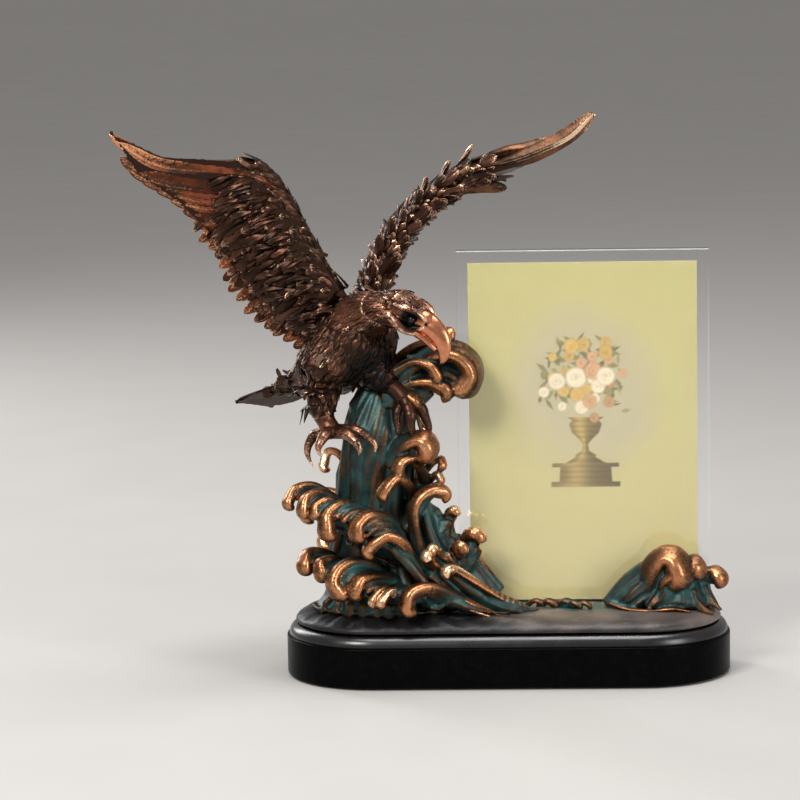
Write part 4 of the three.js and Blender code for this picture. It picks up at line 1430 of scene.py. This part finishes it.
def make_head():
    """The head's skin with its eye sockets, painted dark as shade, and long narrow feathers over all but the
    face.
    """
    skin = head_skin()
    point = coordinates(skin.data)
    local = HEAD.local(point)
    for side in (-1, 1):
        away = np.linalg.norm(local - np.multiply(EYE, (1, 1, side)), axis=1)
        point -= 2.0 * np.exp(-((away / 2.8) ** 2))[:, None] * side * HEAD.right * MM
    skin.data.vertices.foreach_set("co", point.ravel())
    skin.data.update()
    # Painted shade: the skin round each eye is darkened and left unrubbed.
    painted_socket_shade = np.clip(2.6 - from_pair(local, EYE) / 2.4, 0, 1)
    rub = 0.35 + 0.35 * relief(skin.data) + 0.25 * (local[:, 0] > 5)
    write_marks(skin.data, np.stack([rub * (1 - painted_socket_shade), painted_socket_shade, np.full(len(point), 0.6)], 1))
    finish_piece(shade_smooth(skin), HEAD_FEATHER, "statuette", "copper_bronze", "eagle_head")
    back = [*HEAD.run([(9, 2, 0), (0, 2, 0), (-8, 1.5, 0)]), *spots("eagle_head", NECK[::-1])]
    throat = [*HEAD.run([(8, -5, 0), (0, -7, 0), (-8, -8, 0)]), *spots("eagle_body", BREAST[:2])]
    batch = Batch()
    plumage(batch, (point, polygons(skin.data)), Flow([spline(back, 30), spline(throat, 30)]), 1.75 * MM,
            7.4 * MM,
            2.3 * MM, 8, feathered, LONG_LEAF, (0.03, 0.12), 1.15, 0.34)
    batch.finish("head_feathers", HEAD_FEATHER, "copper_bronze", "eagle_head")


def feathered(point):
    """Whether a point of the head carries feathers: not on the face, round the eye or on the cheek."""
    forward, over, right = HEAD.local(point)
    round_eye = math.dist((forward, over, abs(right)), EYE) < 4.6
    cheek = forward > 2 and -6.0 < over < 3.5 and abs(right) > 3
    return not (forward > 5.5 or round_eye or cheek)


def make_beak():
    """Hooked upper beak over a lower one, with the wax-like cere at its root."""
    batch = Batch()
    path = spline(HEAD.run([(7.5, 1.4, 0), (11.5, 2.0, 0), (16, 2.0, 0), (20.5, 0.8, 0), (23.8, -1.8, 0),
                            (25.8, -5.0, 0), (26.2, -7.6, 0)]), 44)
    wide = spline([5.3, 4.9, 4.2, 3.3, 2.4, 1.5, 0.5], 44) * MM
    deep = spline([5.4, 5.3, 5.0, 4.3, 3.2, 2.0, 0.6], 44) * MM

    def beaked(along, angle):
        ridge = 0.10 * np.exp(-((np.sin((angle - np.pi / 2) / 2) / 0.22) ** 2))
        under = -0.22 * np.exp(-((np.sin((angle + np.pi / 2) / 2) / 0.5) ** 2))
        return 1 + ridge + under * (1 - along)

    batch.add(*tube(path, HEAD.over, wide, deep, beaked, 32))
    cere = spline(HEAD.run([(8.0, 2.6, 0), (10.5, 3.0, 0), (13, 3.2, 0)]), 14)
    batch.add(*tube(cere, HEAD.over, spline([5.2, 5.1, 4.4], 14) * MM, spline([5.0, 4.9, 4.1], 14) * MM))
    for side in (-1, 1):
        head_tube(batch, [(10, -2.6, 4.4), (14, -2.4, 3.7), (18, -2.9, 2.9), (21.5, -3.8, 1.9)],
                  [1.0, 1.0, 0.9, 0.6], side, 1.2)
    beak = remeshed(batch.build("beak"), 0.26 * MM, 3)
    jaw = Batch()
    head_tube(jaw, [(4, -4.0, 0), (10, -3.6, 0), (16, -3.5, 0), (21.0, -4.0, 0)], [3.9, 3.4, 2.4, 0.9], 1,
              0.62)
    jaw = remeshed(jaw.build("lower_beak"), 0.28 * MM, 3)
    for piece in (beak, jaw):
        local = HEAD.local(coordinates(piece.data))
        rub = 0.85 + 0.1 * relief(piece.data) - 0.5 * np.clip((11.5 - local[:, 0]) / 5, 0, 1)
        # Painted shade: a dark spot at each nostril, standing for the hollow.
        nostril_shade = np.clip(1.6 - from_pair(local, NOSTRIL) / 0.7, 0, 1)
        write_marks(piece.data, np.stack([rub, nostril_shade, np.full(len(rub), 0.7)], 1))
        finish_piece(shade_smooth(piece), BEAK, "statuette", "copper_bronze", "eagle_head")


def make_eyes():
    """Two glossy balls set into the sockets."""
    batch = Batch()
    run = np.linspace(-1.7, 1.7, 14)
    radii = np.sqrt(np.clip(1.72**2 - run**2, 0.01, None)) * MM
    for side in (-1, 1):
        centre = HEAD.at(EYE[0], EYE[1], side * (EYE[2] - 0.9))
        path = centre + run[:, None] * side * HEAD.right * MM
        batch.add(*tube(path, HEAD.over, radii, radii), (0.0, 1.0, 0.1))
    batch.finish("eyes", EYE_DARK, "dark_bronze", "eagle_head", None)


# ---------------------------------------------------------------- feet

def toe(batch, points):
    """One toe with knuckles and cross scales, ending in a hooked talon."""
    path = spline(points, 40)

    def scaly(along, angle):
        scales = 0.10 * np.abs(np.sin(along * np.pi * 9)) * np.clip(0.72 - along, 0, 1) / 0.7
        knuckles = 0.16 * np.exp(-(((along - 0.33) / 0.07) ** 2))
        return 1 + (scales + knuckles) * np.clip(np.sin(angle) + 0.6, 0, 1)

    wide = spline(TOE_RADII, 40) * MM
    batch.add(*tube(path, UP, wide, wide * 0.95, scaly, 18))


RIGHT_TOES = [
    [(40, 59, 71), (67, 39, 74), (87, 27, 63), (97, 21, 50), (97, 20, 36)],
    [(40, 54, 69), (58, 27, 69), (71, 9, 58), (77, 5, 44), (75, 9, 32)],
    [(40, 59, 69), (30, 34, 67), (23, 17, 56), (20, 12, 44), (23, 14, 30)],
    [(37, 63, 67), (17, 83, 61), (6, 88, 46), (3, 86, 25), (10, 78, 1)],
]
LEFT_TOES = [
    [(44, 58, 64), (75, 44, 53), (89, 41, 33), (97, 44, 14), (93, 51, 1)],
    [(44, 51, 64), (54, 22, 45), (55, 12, 26), (59, 15, 12), (55, 22, 1)],
    [(44, 65, 64), (28, 51, 49), (23, 37, 33), (26, 33, 18), (23, 40, 6)],
]
TOE_RADII = [3.2, 2.6, 2.1, 1.4, 0.3]
RIGHT_LEG = [(26, 71, 100), (30, 68, 87), (37, 61, 71), (40, 56, 63)]
LEFT_LEG = [(-3, 83, 95), (23, 68, 81), (41, 58, 66), (44, 51, 58)]
LEG_WIDTH, LEG_DEPTH = [5.0, 4.2, 4.4, 3.4], [4.8, 4.0, 4.2, 3.2]


def make_foot(node, leg, toes, shine, material):
    """A scaled leg and its toes as one skin."""
    batch = Batch()
    path = spline(spots(node, leg), 20)
    wide, deep = spline(LEG_WIDTH, 20) * MM, spline(LEG_DEPTH, 20) * MM
    batch.add(*tube(path, np.array([0, 1.0, 0]), wide, deep))
    for places in toes:
        toe(batch, spots(node, places))
    foot = remeshed(batch.build(node + "_scaled"), 0.33 * MM, 2)
    high = relief(foot.data)
    # The second mark is the near-black painted shade, darker in the hollows between the scales.
    write_marks(foot.data, np.stack([shine + 0.4 * high, 0.25 - 0.3 * high, 0.5 + 0.2 * high], 1))
    finish_piece(shade_smooth(foot), material, "statuette", "dark_bronze", node)


make_body()
make_tail()
make_wing(RIGHT_WING, 5, (0.05, 0.35), (0.15, 0.42), RED_FEATHER)
make_wing(LEFT_WING, 6, (0.25, 0.85), (0.3, 0.7), GOLD_FEATHER)
make_head()
make_beak()
make_eyes()
make_foot("right_foot", RIGHT_LEG, RIGHT_TOES, 0.28, HEAD_FEATHER)
# Painted shade: the left foot, in shadow under the body, gets the darker finish and less rub than the right.
make_foot("left_foot", LEFT_LEG, LEFT_TOES, 0.10, DARK_FEATHER)


# ---------------------------------------------------------------- clear holder and print

def bevelled_box(batch, low, high, bevel):
    """A box whose edges are polished round."""
    mesh = bmesh.new()
    bmesh.ops.create_cube(mesh, size=1)
    for v in mesh.verts:
        v.co = Vector([(low[k] + high[k]) / 2 + v.co[k] * (high[k] - low[k]) for k in range(3)])
    bmesh.ops.bevel(mesh, geom=mesh.edges[:], offset=bevel, segments=3, affect="EDGES", profile=0.5)
    mesh.verts.index_update()
    batch.add([v.co[:] for v in mesh.verts], [[v.index for v in f.verts] for f in mesh.faces])
    mesh.free()


def make_holder():
    """Five sheets of clear acrylic, cemented into one holder with an open pocket for the print."""
    low, high = node_box("sleeve_front")[0], node_box("sleeve_rear")[1]
    batch = Batch()
    bevelled_box(batch, low, high, 0.5 * MM)
    holder = batch.build("holder_polished")
    left, right = node_box("sleeve_left_strip")[1][0], node_box("sleeve_right_strip")[0][0]
    front, rear = node_box("sleeve_front")[1][1], node_box("sleeve_rear")[0][1]
    floor = node_box("sleeve_bottom_strip")[1][2]
    cut_box(holder, (left, front, floor), (right, rear, high[2] + MM))
    holder.visible_shadow = False
    finish_piece(holder, ACRYLIC, "photo_sleeve", "clear_acrylic", "sleeve_front", "sleeve_rear",
                 "sleeve_left_strip",
                 "sleeve_right_strip", "sleeve_bottom_strip")


PAPER_GREEN = np.array([0.325, 0.30, 0.122])
PAPER_PALE = np.array([0.37, 0.325, 0.155])
CLOUD = np.array([0.325, 0.288, 0.190])
CARD_BACK = (0.82, 0.82, 0.80)
PRINT_COLUMNS, PRINT_ROWS = 216, 324
PRINT_PLAY = (0.05, 0.03, 0.10), (0.05, 0.03, 0.05)


class Picture:
    """The print's picture: soft discs and bands painted over a grid. Places run from 0 to 1 across."""

    def __init__(self):
        u, v = np.meshgrid(np.linspace(0, 1, PRINT_COLUMNS), np.linspace(0, 1, PRINT_ROWS))
        self.u, self.v = u, v * 1.5
        self.colour = np.zeros((*u.shape, 3))

    def lay(self, cover, colour):
        self.colour += (np.asarray(colour) - self.colour) * np.clip(cover, 0, 1)[..., None]

    def disc(self, x, y, radius, colour, soft=0.3):
        away = np.hypot(self.u - x, self.v - y) / radius
        self.lay(np.clip((1 - away) / soft, 0, 1), colour)

    def petal(self, x, y, length, width, turn, colour, amount):
        du, dv = self.u - x, self.v - y
        a = (du * math.cos(turn) + dv * math.sin(turn)) / length
        b = (dv * math.cos(turn) - du * math.sin(turn)) / (width * np.clip(1 - np.abs(a), 0.05, 1))
        self.lay(amount * np.clip((1 - np.hypot(a, b)) / 0.4, 0, 1), colour)

    def rose(self, x, y, radius, colour, random):
        colour = np.array(colour)
        self.disc(x, y, radius * 1.08, colour * 0.55, 0.35)
        self.disc(x, y, radius, colour, 0.3)
        for ring in np.linspace(0.85, 0.2, 5):
            for turn in np.arange(5) * 2 * np.pi / 5 + random.uniform(0, 2):
                px, py = x + ring * radius * 0.6 * math.cos(turn), y + ring * radius * 0.6 * math.sin(turn)
                shade = colour * random.uniform(0.72, 1.06)
                self.petal(px, py, 0.42 * radius, 0.22 * radius, turn + np.pi / 2, shade, 0.7)
        self.disc(x, y, radius * 0.16, colour * [0.8, 0.62, 0.4], 0.6)

    def urn(self, x, base, profile, colour):
        """A turned vase: profile is (height, half width) pairs, shaded round its axis."""
        heights, halves = np.array(profile).T
        half = np.interp(self.v - base, heights, halves, 0, 0)
        across = (self.u - x) / np.maximum(half, 1e-6)
        cover = (half > 0) * np.clip((1 - np.abs(across)) * half / 0.006, 0, 1)
        shade = 0.55 + 0.6 * np.exp(-((across + 0.35) / 0.35) ** 2) - 0.25 * np.clip(across, 0, 1)
        bands = 1 + 0.14 * np.sin((self.v - base) * 260)
        self.lay(cover, np.asarray(colour) * (shade * bands)[..., None])


STONE, GILT, LEAF_GREEN = (0.23, 0.165, 0.060), (0.27, 0.19, 0.060), np.array([0.125, 0.115, 0.040])
WHITE, PEACH, YELLOW, RUST, OCHRE = ((0.56, 0.48, 0.34), (0.44, 0.25, 0.13), (0.46, 0.30, 0.08),
                                     (0.34, 0.19, 0.085), (0.40, 0.265, 0.075))
FOOT_PROFILE = [(0, 0.155), (0.02, 0.155), (0.021, 0.12), (0.085, 0.115), (0.086, 0.15), (0.105, 0.15),
                (0.106, 0.09), (0.13, 0.05)]
VASE_PROFILE = [(0, 0.045), (0.01, 0.05), (0.03, 0.018), (0.06, 0.014), (0.08, 0.03), (0.11, 0.062),
                (0.15, 0.075), (0.165, 0.06), (0.18, 0.085)]
FRONT_ROSES = [(0.47, 0.99, 0.050, WHITE), (0.385, 0.975, 0.040, WHITE), (0.545, 1.02, 0.042, PEACH),
               (0.60, 0.995, 0.044, WHITE), (0.45, 1.13, 0.036, YELLOW), (0.60, 1.10, 0.034, OCHRE),
               (0.53, 0.885, 0.034, PEACH)]


def paint_print():
    """A bouquet of roses in an urn on a stone foot, over a pale ground with a soft cloud."""
    random = np.random.default_rng(21)
    picture = Picture()
    u, v = picture.u, picture.v
    picture.colour[:] = PAPER_GREEN
    picture.lay(np.clip(0.85 - 0.75 * v / 1.5 + 0.25 * np.sin(3 * u), 0, 1), PAPER_PALE)
    place = np.stack([u.ravel(), v.ravel(), 0 * u.ravel()], 1)
    mist = waves(place, 31, 0.5).reshape(u.shape) * 0.12 + waves(place, 32, 0.16).reshape(u.shape) * 0.05
    cloud = 1 - (((u - 0.5) / 0.36) ** 2 + ((v - 0.93) / 0.42) ** 2)
    picture.lay(np.clip(cloud * 1.2 + mist, 0, 0.85), CLOUD)
    picture.urn(0.51, 0.505, FOOT_PROFILE, STONE)
    picture.urn(0.51, 0.635, VASE_PROFILE, GILT)
    for _ in range(150):
        turn, reach = random.uniform(-0.5, np.pi + 0.5), random.uniform(0.03, 0.19)
        x, y = 0.51 + 1.08 * reach * math.cos(turn), 0.95 + 1.25 * reach * math.sin(turn)
        leaf = LEAF_GREEN * random.uniform(0.6, 1.7)
        length, width = random.uniform(0.02, 0.045), random.uniform(0.008, 0.016)
        picture.petal(x, y, length, width, random.uniform(0, np.pi), leaf, 0.9)
    tones = [WHITE, PEACH, YELLOW, RUST, OCHRE]
    for k in range(26):
        turn, reach = 2.4 * k, 0.035 + 0.0062 * k
        x, y = 0.51 + reach * math.cos(turn), 0.985 + reach * math.sin(turn)
        picture.rose(x, y, random.uniform(0.02, 0.034), tones[k % len(tones)], random)
    for x, y, radius, tone in FRONT_ROSES:
        picture.rose(x, y, radius, tone, random)
    return picture.colour


def make_print():
    """The print: a card with a fine grid in front, whose points hold the picture, and a plain back."""
    low, high = node_box("photo_print")
    low, high = low + np.array(PRINT_PLAY[0]) * MM, high - np.array(PRINT_PLAY[1]) * MM
    x = np.linspace(low[0], high[0], PRINT_COLUMNS)
    z = np.linspace(low[2], high[2], PRINT_ROWS)
    grid_x, grid_z = np.meshgrid(x, z)
    front = np.stack([grid_x, np.full_like(grid_x, low[1]), grid_z], -1).reshape(-1, 3)
    back = np.array([(a, high[1], b) for a, b in ((x[0], z[0]), (x[-1], z[0]), (x[-1], z[-1]),
                                                  (x[0], z[-1]))])
    faces = grid_faces(PRINT_ROWS, PRINT_COLUMNS, False)
    count, top = len(front), (PRINT_ROWS - 1) * PRINT_COLUMNS
    lower, upper = list(range(PRINT_COLUMNS)), list(range(top, top + PRINT_COLUMNS))
    left = [r * PRINT_COLUMNS for r in range(PRINT_ROWS)]
    right = [r + PRINT_COLUMNS - 1 for r in left]
    b0, b1, b2, b3 = range(count, count + 4)
    faces += [lower[::-1] + [b0, b1], upper + [b2, b3], left + [b3, b0], right[::-1] + [b1, b2],
              [b0, b3, b2, b1]]
    batch = Batch()
    batch.add(np.vstack([front, back]), faces)
    sheet = batch.build("photo_print_sheet")
    layer = sheet.data.color_attributes.new("picture", "FLOAT_COLOR", "POINT")
    colour = np.ones((count + 4, 4), np.float32)
    colour[:count, :3] = paint_print().reshape(-1, 3)
    colour[count:, :3] = CARD_BACK
    layer.data.foreach_set("color", colour.ravel())
    finish_piece(sheet, PRINT, "photo_card", "print", "photo_print")


make_holder()
make_print()


# ---------------------------------------------------------------- camera, floor and light

VIEW_DISTANCE = 1.7
LENS, SENSOR = 172.35, 36
VIEW_AZIMUTH, VIEW_ELEVATION, VIEW_ROLL = 1.81, 8.93, -0.87
VIEW_OFFSET = np.array([-11.9, -8.8, -1.4]) * MM


LIGHTS = {
    "key": ((-0.62, -1.1, 0.95), (0.5, 0.5), 16, (1.0, 0.97, 0.93)),
    "fill": ((1.0, -0.9, 0.35), (0.4, 0.8), 8, (1.0, 0.98, 0.96)),
    "top": ((0.1, -0.1, 1.1), (0.9, 0.5), 11, (1, 1, 1)),
    "rim": ((-0.8, 0.8, 0.5), (0.3, 0.7), 7, (1, 1, 1)),
}
SKY, SKY_STRENGTH = (0.80, 0.78, 0.76, 1), 0.46


def make_camera():
    """A long lens at the photograph's angle."""
    target = (np.array(cad_low) + np.array(cad_high)) / 2 + VIEW_OFFSET
    a, e, roll = (math.radians(v) for v in (VIEW_AZIMUTH, VIEW_ELEVATION, VIEW_ROLL))
    back = np.array([math.sin(a) * math.cos(e), -math.cos(a) * math.cos(e), math.sin(e)])
    right = unit(np.cross(-back, UP))
    over = np.cross(right, -back)
    turned_right = math.cos(roll) * right + math.sin(roll) * over
    turned_over = math.cos(roll) * over - math.sin(roll) * right
    data = bpy.data.cameras.new("camera")
    data.lens, data.sensor_width, data.clip_end = LENS, SENSOR, 200
    camera = placed("camera", data)
    place = Matrix([Vector(turned_right), Vector(turned_over), Vector(back)]).transposed().to_4x4()
    place.translation = Vector(target + VIEW_DISTANCE * back)
    camera.matrix_world = place
    bpy.context.scene.camera = camera


def make_floor():
    bpy.ops.mesh.primitive_plane_add(size=60, location=(0, 0, cad_low[2]))
    floor = bpy.context.object
    floor.name = "floor"
    s = Shader("pale_floor", Metallic=0.0)
    s.set("Base Color", s.mix(s.noise(0.6, 2), (0.44, 0.428, 0.415), (0.47, 0.457, 0.445)))
    s.set("Roughness", s.span(s.noise(0.05, 2), 0.3, 0.7, 0.6, 0.7))
    floor.data.materials.append(s.material)


def make_lights():
    """Soft boxes round the middle of the object, and a pale sky."""
    middle = Vector((np.array(cad_low) + np.array(cad_high)) / 2)
    for name, (offset, size, power, colour) in LIGHTS.items():
        data = bpy.data.lights.new(name, "AREA")
        data.shape, data.size, data.size_y = "RECTANGLE", *size
        data.energy, data.color = power, colour
        light = placed(name, data)
        light.location = middle + Vector(offset)
        light.rotation_euler = Vector(offset).to_track_quat("Z", "Y").to_euler()
    world = bpy.data.worlds.new("studio")
    world.use_nodes = True
    sky = world.node_tree.nodes["Background"].inputs
    sky["Color"].default_value, sky["Strength"].default_value = SKY, SKY_STRENGTH
    bpy.context.scene.world = world
    bpy.context.scene.view_settings.view_transform = "Standard"


make_camera()
make_floor()
make_lights()
